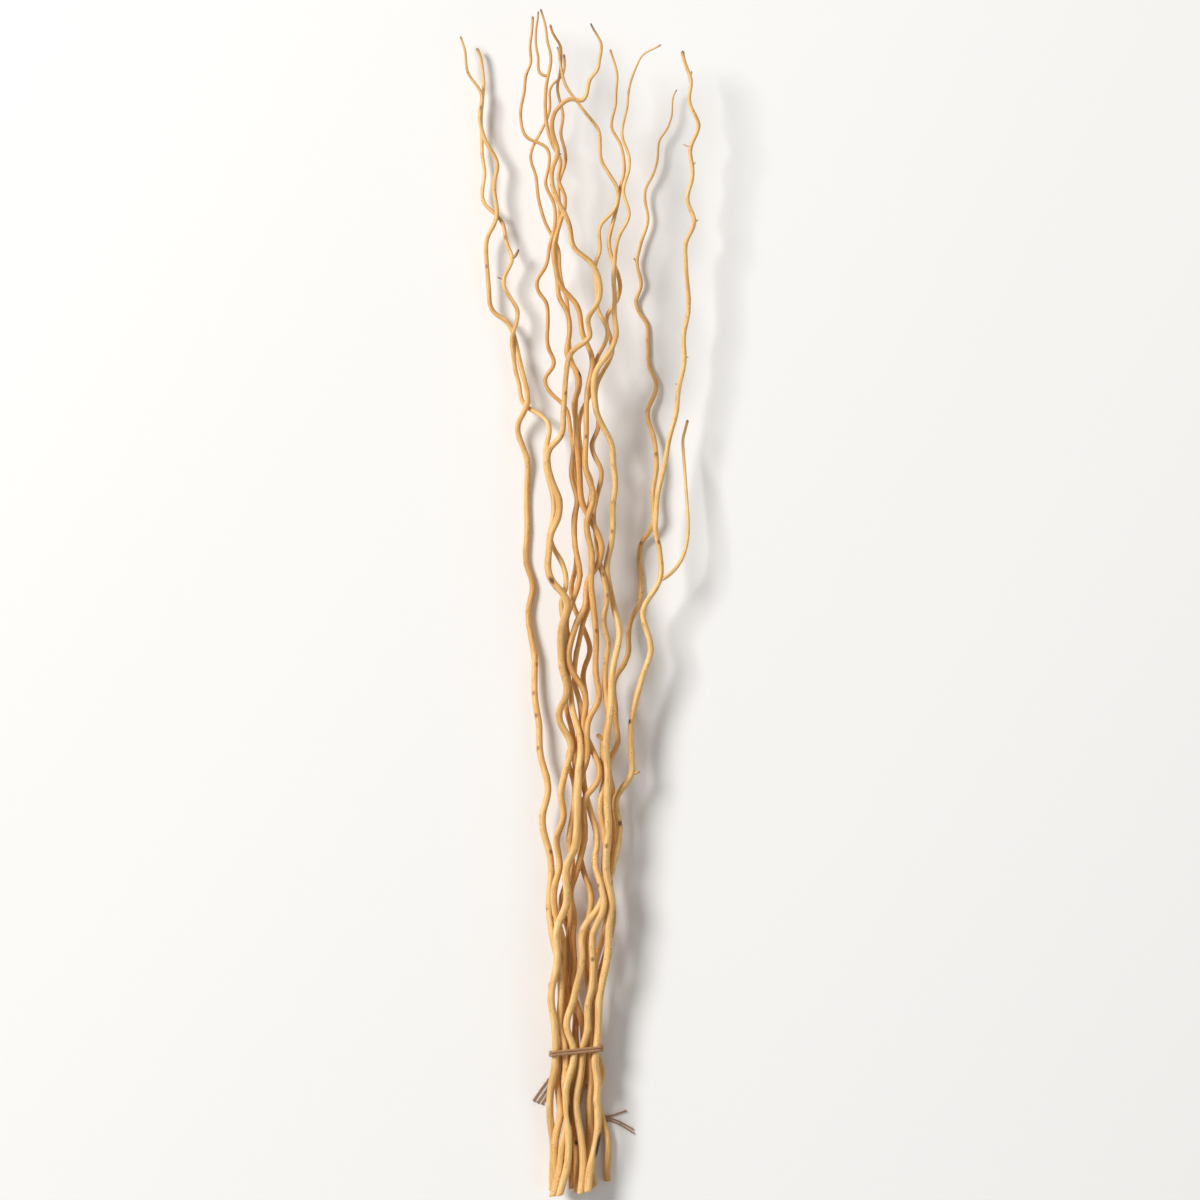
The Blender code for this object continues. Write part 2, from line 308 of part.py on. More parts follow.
RADII = {
    "branch_01": [(1195, 3.7), (900, 3.4), (700, 3.2), (450, 2.9), (300, 2.25), (110, 2.0), (80, 1.5),
                  (37, 1.2)],
    "branch_02": [(1190, 3.7), (800, 3.8), (700, 2.7), (600, 2.6), (450, 2.7), (400, 2.2), (250, 1.9),
                  (48, 1.6)],
    "branch_03": [(1188, 3.7), (1000, 3.3), (700, 3.4), (500, 3.4), (400, 2.8), (250, 2.5), (130, 2.3),
                  (60, 1.8), (28, 0.9)],
    "branch_04": [(1188, 3.6), (950, 2.9), (700, 2.8), (560, 2.4), (450, 2.0), (250, 1.9), (18, 1.3)],
    "branch_05": [(1191, 3.6), (900, 3.2), (740, 2.5), (600, 2.9), (510, 2.8), (400, 2.3), (240, 1.7),
                  (56, 1.2)],
    "branch_06": [(1184, 3.5), (900, 3.2), (700, 3.1), (500, 2.9), (400, 2.9), (300, 2.5), (200, 1.8),
                  (27, 1.2)],
    "branch_07": [(1194, 3.7), (850, 3.4), (700, 3.2), (570, 2.7), (450, 2.4), (200, 2.2), (53, 1.9)],
    "branch_08": [(1192, 3.8), (1000, 3.6), (880, 3.2), (700, 2.7), (450, 2.3), (300, 2.0), (160, 1.9),
                  (50, 1.3)],
    "branch_09": [(1190, 3.9), (900, 3.7), (700, 3.4), (500, 3.0), (350, 2.7), (240, 1.9), (110, 1.4),
                  (47, 0.9)],
    "branch_10": [(1189, 3.8), (900, 3.0), (700, 3.0), (500, 3.0), (400, 2.7), (270, 2.7), (200, 1.9),
                  (80, 1.7), (12, 1.0)],
    "branch_11": [(1186, 3.7), (950, 3.3), (700, 3.0), (560, 2.6), (450, 2.3), (270, 2.2), (150, 1.6),
                  (52, 1.2)],
    "branch_12": [(1181, 3.5), (950, 3.2), (720, 2.8), (560, 2.6), (440, 2.4), (300, 1.8), (160, 1.3),
                  (90, 0.8)],
}

# Forks and stubs: the branch that each grows from, its route (x, y, height over its root) and radii.
FORKS = [
    ("branch_07", [(661, 580, 0), (665, 577.5, 0), (671, 573, -1), (678, 565, -3), (684, 553, -5),
                   (687.3, 538, -7), (688, 523, -8), (687, 508, -9), (685.7, 490, -10),
                   (684.3, 468, -11), (683, 450, -12), (682.7, 440, -12), (685, 430, -12),
                   (687.7, 420, -12)], 2.0, 1.5),
    ("branch_10", [(548, 79, 0), (544.5, 78.3, 0), (540.3, 76.3, -1), (538.5, 70, -2), (538.5, 60, -2),
                   (537, 53, -3), (536, 43, -4), (536.5, 32, -5), (538, 22, -5), (538.5, 14, -5)], 1.6, 1.0),
    ("branch_02", [(513.5, 259.5, 0), (516, 256, 1), (519, 249.5, 2)], 1.7, 1.1),
    ("branch_07", [(632, 773, 0), (636, 772.5, 0), (640, 771, 1)], 2.5, 0.9),
    ("branch_11", [(604.5, 740, 0), (600.5, 737, 2), (596.8, 733.5, 4)], 2.6, 2.0),
    ("branch_07", [(690, 80, 0), (691, 76, 1), (691.3, 73, 1)], 1.2, 0.7),
]

# Loose ends of the twine, from the knot beneath the bundle to their frayed ends (x, y, height).
TAILS = {
    "twine_tail_left_1": [(572.2, 1052.7, 7.4), (565, 1059.5, 5.0), (558, 1066, 2.5), (552, 1074, 1.2),
                          (547, 1081, 1.0), (541, 1089, 1.0), (533.5, 1100, 1.0)],
    "twine_tail_left_2": [(573.8, 1054.2, 7.4), (566, 1063, 4.5), (559, 1071, 2.0), (553, 1079.5, 1.2),
                          (548.5, 1086, 1.0), (543.5, 1093.5, 1.0), (537.5, 1102, 1.0)],
    "twine_tail_left_3": [(575.7, 1055.3, 7.4), (568.5, 1066, 4.5), (561, 1075, 2.0), (555, 1083.5, 1.2),
                          (551, 1088.8, 1.0), (546.5, 1096, 1.0), (541.8, 1103.5, 1.0)],
    "twine_tail_right_1": [(582.0, 1053.7, 7.4), (587, 1066, 4.5), (591.5, 1079, 2.0), (595.5, 1093, 1.2),
                           (599.5, 1107, 1.0), (604, 1115.5, 1.0), (612, 1115.7, 1.0), (625.5, 1110.8, 1.0)],
    "twine_tail_right_2": [(580.0, 1054.8, 7.4), (584.5, 1068, 4.5), (589, 1082, 2.0), (593, 1097, 1.2),
                           (596.7, 1110, 1.0), (602.6, 1118.1, 1.0), (612.5, 1118.8, 1.0), (624, 1124, 1.0),
                           (632, 1128.7, 1.0)],
    "twine_tail_right_3": [(577.9, 1055.2, 7.4), (581.8, 1070, 4.5), (586.2, 1085, 2.0), (590, 1100, 1.2),
                           (594, 1113, 1.0), (601.2, 1120.4, 1.0), (611.5, 1121.2, 1.0), (622.3, 1126, 1.0),
                           (632.9, 1132.6, 1.0)],
}

WOOD = {"colour": (0.79, 0.50, 0.19, 1.0), "roughness": 0.55}
TWINE = {"colour": (0.37, 0.20, 0.11, 1.0), "roughness": 0.9}


def smooth_line(points, step):
    """A Catmull-Rom curve through the points, sampled at even steps."""
    knots = np.asarray(points, float)
    padded = np.vstack([2 * knots[0] - knots[1], knots, 2 * knots[-1] - knots[-2]])
    dense = []
    for index in range(1, len(padded) - 2):
        before, start, end, after = padded[index - 1:index + 3]
        for t in np.linspace(0.0, 1.0, CURVE_STEPS, endpoint=False):
            dense.append(0.5 * (2 * start + (end - before) * t
                                + (2 * before - 5 * start + 4 * end - after) * t ** 2
                                + (3 * start - before - 3 * end + after) * t ** 3))
    dense.append(padded[-2])
    dense = np.array(dense)
    run = np.concatenate([[0.0], np.cumsum(np.linalg.norm(np.diff(dense, axis=0), axis=1))])
    even = np.linspace(0.0, run[-1], max(2, int(round(run[-1] / step))) + 1)
    return np.column_stack([np.interp(even, run, dense[:, axis]) for axis in range(dense.shape[1])])


def by_y(table, y):
    """Value of a (y, value) table at each y of a line."""
    knots = sorted(table)
    return np.interp(y, [knot[0] for knot in knots], [knot[1] for knot in knots])


def blurred(values, width):
    """A line's values, averaged over a few neighbours."""
    kernel = np.hanning(width + 2)[1:-1]
    padded = np.concatenate([np.full(width // 2, values[0]), values, np.full(width // 2, values[-1])])
    return np.convolve(padded, kernel / kernel.sum(), mode="valid")


def planned_lines():
    """Centre lines as drawn, with their radii, before they are laid clear of each other."""
    lines = {}
    for name, route in ROUTES.items():
        flat = smooth_line(route, SAMPLE_STEP)
        height = blurred(by_y(HEIGHTS[name], flat[:, 1]), HEIGHT_BLUR)
        radius = by_y(RADII[name], flat[:, 1])
        lines[name] = (np.column_stack([flat, height]), radius)
    return lines


def thinned(line, tolerance):
    """Indices of the few samples that keep a line within the tolerance."""
    keep = {0, len(line) - 1}
    spans = [(0, len(line) - 1)]
    while spans:
        start, end = spans.pop()
        if end - start < 2:
            continue
        along = line[end] - line[start]
        along = along / max(np.linalg.norm(along), 1e-9)
        offset = line[start + 1:end] - line[start]
        away = np.linalg.norm(offset - np.outer(offset @ along, along), axis=1)
        worst = int(np.argmax(away))
        if away[worst] > tolerance:
            keep.add(start + 1 + worst)
            spans += [(start, start + 1 + worst), (start + 1 + worst, end)]
    return sorted(keep)


def rings_of(lines):
    """The few rings that each branch is built on: their places and radii."""
    rings = {}
    for name, (line, radius) in lines.items():
        keep = thinned(line, FIT_TOLERANCE)
        rings[name] = (line[keep], radius[keep])
    return rings


def samples_of(places, radius):
    """Even samples between the rings: the ring before each, the share of the next, and the rest."""
    before = []
    share = []
    for index in range(len(places) - 1):
        count = max(1, int(math.ceil(np.linalg.norm(places[index + 1] - places[index]) / SAMPLE_STEP)))
        for part in range(count):
            before.append(index)
            share.append(part / count)
    before.append(len(places) - 2)
    share.append(1.0)
    before = np.array(before)
    share = np.array(share)
    at = places[before] * (1 - share[:, None]) + places[before + 1] * share[:, None]
    thick = radius[before] * (1 - share) + radius[before + 1] * share
    return before, share, at, thick


def touching_pairs(samples):
    """Samples of two branches that cannot lie at one height, with the room they need and their order."""
    names = list(samples)
    pairs = []
    for first in range(len(names)):
        for second in range(first + 1, len(names)):
            a = samples[names[first]]
            b = samples[names[second]]
            apart = np.hypot(a[2][:, None, 0] - b[2][None, :, 0], a[2][:, None, 1] - b[2][None, :, 1])
            need = a[3][:, None] + b[3][None, :] + GAP
            i, j = np.nonzero(apart < need)
            if len(i) == 0:
                continue
            room = np.sqrt(need[i, j] ** 2 - apart[i, j] ** 2)
            over = a[2][i, 2] - b[2][j, 2]
            order = np.ones(len(i))
            starts = np.concatenate([[0], np.nonzero(np.diff(i) > 2)[0] + 1, [len(i)]])
            for start, end in zip(starts[:-1], starts[1:]):
                order[start:end] = 1.0 if over[start:end].sum() >= 0.0 else -1.0
            pairs.append((names[first], names[second], i, j, room, order))
    return pairs


def spread(size, before, share, index, amount):
    """The largest wish of the samples, handed to the rings on either side of them."""
    wish = np.zeros(size)
    np.maximum.at(wish, before[index], np.where(share[index] < 1 - SHARE_EDGE, amount, 0.0))
    np.maximum.at(wish, before[index] + 1, np.where(share[index] > SHARE_EDGE, amount, 0.0))
    return wish


def laid_clear(rings):
    """Lift or lower the branches until no two of them touch, keeping which one lies over which."""
    height = {name: places[:, 2].copy() for name, (places, radius) in rings.items()}
    samples = {name: samples_of(places, radius) for name, (places, radius) in rings.items()}
    pairs = touching_pairs(samples)
    for turn in range(CLEARING_TURNS):
        rise = {name: np.zeros_like(values) for name, values in height.items()}
        sink = {name: np.zeros_like(values) for name, values in height.items()}
        level = {}
        for name, (before, share, at, thick) in samples.items():
            values = height[name]
            level[name] = values[before] * (1 - share) + values[before + 1] * share
        for a, b, i, j, room, order in pairs:
            short = 0.5 * np.maximum(room - (level[a][i] - level[b][j]) * order, 0.0)
            over = order > 0
            for name, index, lifts in ((a, i, over), (b, j, ~over)):
                before, share = samples[name][:2]
                size = len(height[name])
                up = spread(size, before, share, index[lifts], short[lifts])
                down = spread(size, before, share, index[~lifts], short[~lifts])
                np.maximum(rise[name], up, out=rise[name])
                np.maximum(sink[name], down, out=sink[name])
        for name, values in height.items():
            step = rise[name] - sink[name]
            if turn < SMOOTH_TURNS:
                step = blurred(step, 3)
            values += np.clip(step, -CLEARING_STEP, CLEARING_STEP)
            np.maximum(values, rings[name][1] - REST_SINK, out=values)
    return {name: (np.column_stack([places[:, :2], height[name]]), radius)
            for name, (places, radius) in rings.items()}


def eased_apart(rings):
    """Push the last touching places of two branches apart, sideways as well as up and down."""
    places = {name: line.copy() for name, (line, radius) in rings.items()}
    names = list(places)
    start = {name: samples_of(*rings[name]) for name in names}
    nearby = []
    for first in range(len(names)):
        for second in range(first + 1, len(names)):
            a = start[names[first]]
            b = start[names[second]]
            apart = np.linalg.norm(a[2][:, None] - b[2][None, :], axis=2)
            i, j = np.nonzero(apart < EASE_REACH)
            if len(i):
                nearby.append((names[first], names[second], i, j, a[3][i] + b[3][j] + EASE_GAP))
    for turn in range(EASE_TURNS):
        total = {name: np.zeros_like(line) for name, line in places.items()}
        count = {name: np.zeros(len(line)) for name, line in places.items()}
        at = {}
        for name, (before, share, spot, thick) in start.items():
            line = places[name]
            at[name] = line[before] * (1 - share[:, None]) + line[before + 1] * share[:, None]
        for a, b, i, j, need in nearby:
            way = at[a][i] - at[b][j]
            apart = np.maximum(np.linalg.norm(way, axis=1), EASE_LEAST)
            short = need - apart
            hit = short > 0.0
            push = way[hit] / apart[hit, None] * (0.5 * short[hit])[:, None]
            for name, index, sign in ((a, i[hit], 1.0), (b, j[hit], -1.0)):
                before, share = start[name][:2]
                for ring, weight in ((before[index], 1 - share[index]), (before[index] + 1, share[index])):
                    np.add.at(total[name], ring, sign * push * weight[:, None])
                    np.add.at(count[name], ring, weight)
        for name, line in places.items():
            line += EASE_PUSH * total[name] / np.maximum(count[name], 0.5)[:, None]
            line[:, 2] = np.maximum(line[:, 2], rings[name][1] - REST_SINK)
    return {name: (places[name], rings[name][1]) for name in names}


def board_to_world(points):
    """Board millimetres to metres in the object's own frame."""
    points = np.asarray(points, float)
    return np.column_stack([(points[:, 0] - BOARD_CENTRE_X) * MM,
                            (BOARD_CENTRE_Y - points[:, 1]) * MM,
                            points[:, 2] * MM])


def material(name, finish):
    """A plain Principled material in the part's colour."""
    made = bpy.data.materials.new(name)
    made.use_nodes = True
    shader = made.node_tree.nodes["Principled BSDF"]
    shader.inputs["Base Color"].default_value = finish["colour"]
    shader.inputs["Roughness"].default_value = finish["roughness"]
    shader.inputs["Metallic"].default_value = 0.0
    return made


def as_mesh(name, curve_object, collection):
    """Turn a curve object into a mesh object with welded caps."""
    graph = bpy.context.evaluated_depsgraph_get()
    mesh = bpy.data.meshes.new_from_object(curve_object.evaluated_get(graph))
    work = bmesh.new()
    work.from_mesh(mesh)
    bmesh.ops.remove_doubles(work, verts=work.verts, dist=WELD)
    bmesh.ops.recalc_face_normals(work, faces=work.faces)
    work.to_mesh(mesh)
    work.free()
    curve = curve_object.data
    bpy.data.objects.remove(curve_object)
    bpy.data.curves.remove(curve)
    made = bpy.data.objects.new(name, mesh)
    collection.objects.link(made)
    return made


def tube(name, points, radii, collection, closed=False, sides_level=1):
    """A tube along a POLY spline, in world metres, with a radius at each point."""
    curve = bpy.data.curves.new(name, "CURVE")
    curve.dimensions = "3D"
    curve.bevel_depth = MM
    curve.bevel_resolution = sides_level
    curve.use_fill_caps = not closed
    spline = curve.splines.new("POLY")
    spline.points.add(len(points) - 1)
    for point, place, radius in zip(spline.points, points, radii):
        point.co = (*place, 1.0)
        point.radius = radius
    spline.use_cyclic_u = closed
    drawn = bpy.data.objects.new("curve", curve)
    collection.objects.link(drawn)
    bpy.context.view_layer.update()
    return as_mesh(name, drawn, collection)


def applied(target):
    """Apply the modifiers of an object to its mesh."""
    graph = bpy.context.evaluated_depsgraph_get()
    mesh = bpy.data.meshes.new_from_object(target.evaluated_get(graph))
    target.modifiers.clear()
    target.data = mesh


def joined(target, parts):
    """Fuse the parts into the target and remove them."""
    for part in parts:
        union = target.modifiers.new("union", "BOOLEAN")
        union.operation = "UNION"
        union.object = part
        union.solver = "EXACT"
        applied(target)
        bpy.data.objects.remove(part)


def fork_line(line, route, root_radius, tip_radius):
    """A fork's centre line, rooted on the branch's own centre line."""
    flat = smooth_line(route, SAMPLE_STEP)
    root = int(np.argmin(np.hypot(line[:, 0] - route[0][0], line[:, 1] - route[0][1])))
    flat[:, 2] += line[root, 2]
    flat[0] = line[root]
    radius = np.linspace(root_radius, tip_radius, len(flat))
    return flat, radius


def build_branch(name, line, radius, collection, wood):
    """One branch with its forks fused into it."""
    branch = tube(name, board_to_world(line), radius, collection)
    parts = []
    for parent, route, root_radius, tip_radius in FORKS:
        if parent != name:
            continue
        flat, fork_radius = fork_line(line, route, root_radius, tip_radius)
        kept = thinned(flat, FIT_TOLERANCE)
        parts.append(tube("fork", board_to_world(flat[kept]), fork_radius[kept], collection))
    joined(branch, parts)
    branch.data.materials.clear()
    branch.data.materials.append(wood)
    return branch


def floor_cutter(cutters):
    """A block beneath the surface, which trims the low spots flat."""
    mesh = bpy.data.meshes.new("floor_block")
    work = bmesh.new()
    bmesh.ops.create_cube(work, size=1.0)
    work.to_mesh(mesh)
    work.free()
    block = bpy.data.objects.new("floor_block", mesh)
    block.scale = FLOOR_BLOCK
    block.location = (0.0, 0.0, -FLOOR_BLOCK[2] / 2)
    block.hide_render = True
    block.display_type = "WIRE"
    cutters.objects.link(block)
    return block


def trim_flat(branch, block):
    """Cut a branch's low spots level with the surface."""
    lowest = min(vertex.co.z for vertex in branch.data.vertices)
    if lowest > -TRIM_LEAST:
        return
    cut = branch.modifiers.new("flat spot", "BOOLEAN")
    cut.operation = "DIFFERENCE"
    cut.object = block
    cut.solver = "EXACT"


def tie_outline(rings, band, clear):
    """The tight loop round all the stems where the twine crosses them, seen along the stems."""
    stems = []
    for places, radius in rings.values():
        before, share, at, thick = samples_of(places, radius)
        middle = TIE_Y + TIE_TILT * (at[:, 0] - TIE_CENTRE_X)
        for index in np.nonzero(np.abs(at[:, 1] - middle) < band)[0]:
            stems.append((at[index, 0], at[index, 2], thick[index]))
    loop = []
    for angle in np.linspace(0.0, 2 * math.pi, TWINE_STEPS, endpoint=False):
        way = (math.cos(angle), math.sin(angle))
        x, z, r = max(stems, key=lambda stem: stem[0] * way[0] + stem[1] * way[1] + stem[2])
        reach = r + clear
        loop.append((x + reach * way[0], z + reach * way[1]))
    return loop


def build_tie(rings, collection, twine):
    """Two turns of twine round the stems, with the knot beneath them."""
    outline = tie_outline(rings, TWINE_BAND, TWINE_RADIUS + TWINE_CLEAR)
    turns = []
    for side in (-1.0, 1.0):
        places = []
        for x, z in outline:
            y = TIE_Y + TIE_TILT * (x - TIE_CENTRE_X) + side * TWINE_SPREAD
            places.append((x, y, z))
        turns.append(tube("twine_tie", board_to_world(places), [TWINE_RADIUS] * len(places),
                          collection, closed=True))
    lower = sorted((x, z) for x, z in outline if z < KNOT_LEVEL)
    under = float(np.interp(KNOT_X, [x for x, z in lower], [z for x, z in lower]))
    mesh = bpy.data.meshes.new("knot")
    work = bmesh.new()
    bmesh.ops.create_uvsphere(work, u_segments=KNOT_SIDES, v_segments=KNOT_RINGS, radius=1.0)
    work.to_mesh(mesh)
    work.free()
    knot = bpy.data.objects.new("knot", mesh)
    knot.scale = KNOT_SIZE
    knot_y = TIE_Y + TIE_TILT * (KNOT_X - TIE_CENTRE_X)
    knot.location = board_to_world([(KNOT_X, knot_y, under - KNOT_DROP)])[0]
    collection.objects.link(knot)
    bpy.context.view_layer.update()
    joined(turns[0], [turns[1], knot])
    tie = turns[0]
    tie.name = "twine_tie"
    tie.data.materials.clear()
    tie.data.materials.append(twine)
    return tie


def main():
    for item in list(bpy.data.objects):
        bpy.data.objects.remove(item)
    bundle = bpy.data.collections.new("peeled_branch_bundle")
    cutters = bpy.data.collections.new("cutters")
    bpy.context.scene.collection.children.link(bundle)
    bpy.context.scene.collection.children.link(cutters)
    wood = material("peeled_wood", WOOD)
    twine = material("jute_twine", TWINE)
    rings = eased_apart(laid_clear(rings_of(planned_lines())))
    block = floor_cutter(cutters)
    for name, (line, radius) in rings.items():
        branch = build_branch(name, line, radius, bundle, wood)
        trim_flat(branch, block)
    build_tie(rings, bundle, twine)
    for name, route in TAILS.items():
        places = smooth_line(route, TAIL_STEP)
        tail = tube(name, board_to_world(places), [TAIL_RADIUS] * len(places), bundle)
        tail.data.materials.clear()
        tail.data.materials.append(twine)


main()
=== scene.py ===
"""The look of the tied bundle of curly peeled branches, seen from above."""
import math

import bmesh
import bpy
import mathutils
import numpy as np
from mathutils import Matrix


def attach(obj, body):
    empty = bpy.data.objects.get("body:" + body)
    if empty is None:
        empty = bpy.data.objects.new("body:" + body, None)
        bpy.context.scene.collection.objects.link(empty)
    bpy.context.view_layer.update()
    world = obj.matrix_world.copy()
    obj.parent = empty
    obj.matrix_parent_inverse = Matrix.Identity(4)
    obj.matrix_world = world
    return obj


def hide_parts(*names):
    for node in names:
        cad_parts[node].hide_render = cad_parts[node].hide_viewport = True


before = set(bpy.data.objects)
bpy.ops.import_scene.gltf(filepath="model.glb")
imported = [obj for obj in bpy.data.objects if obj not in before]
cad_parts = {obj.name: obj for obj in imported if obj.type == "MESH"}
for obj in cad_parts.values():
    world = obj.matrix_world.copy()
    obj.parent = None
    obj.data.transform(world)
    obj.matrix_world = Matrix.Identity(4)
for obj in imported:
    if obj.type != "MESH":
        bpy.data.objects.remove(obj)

# Routes are drawn in millimetres on a square board: x to the right and y down from its top left.
# The bundle is 1.18 m long, and the surface that it lies on is height 0.
BOARD_CENTRE_X = 580.17
BOARD_CENTRE_Y = 603.86
MM = 0.001

TIE_Y = 1050.0            # where the twine crosses the middle of the bundle
TIE_CENTRE_X = 575.0
TIE_TILT = -0.10          # the twine climbs towards the tips on the right
TWINE_RADIUS = 1.45
TWINE_BAND = 5.9          # stems within this of the middle line are inside the loop
TWINE_CLEAR = 0.45        # room between the twine and the stems
TWINE_STEPS = 36          # points of one turn
KNOT_X = 577.5
KNOT_LEVEL = 20.0         # the loop below this height is its lower side
KNOT_DROP = 2.2           # the knot hangs this far below the loop
TAIL_RADIUS = 0.85

SAMPLE_STEP = 3.0         # spacing of the centre line while the branches are laid clear
CURVE_STEPS = 12          # fine steps of the curve between two drawn points
HEIGHT_BLUR = 9           # samples that the drawn heights are averaged over
GAP = 0.5                 # room that the clearing leaves between two branches
FIT_TOLERANCE = 0.9       # how far the faceted tube may leave the smooth centre line
CLEARING_TURNS = 500
SMOOTH_TURNS = 250        # the clearing steps are smoothed for this many turns
CLEARING_STEP = 2.0       # the most that a ring moves in one turn of the clearing
EASE_TURNS = 300
EASE_REACH = 12.0         # samples nearer than this are watched while easing apart
EASE_GAP = 0.4            # room that the easing leaves between two branches
EASE_PUSH = 1.4           # the easing steps are drawn out by this much, to settle sooner
EASE_LEAST = 0.05         # least distance that a push is worked out from
SHARE_EDGE = 0.001        # a sample this near to a ring asks nothing of the ring beyond it
REST_SINK = 0.6           # depth of the small flat spots that the bundle lies on

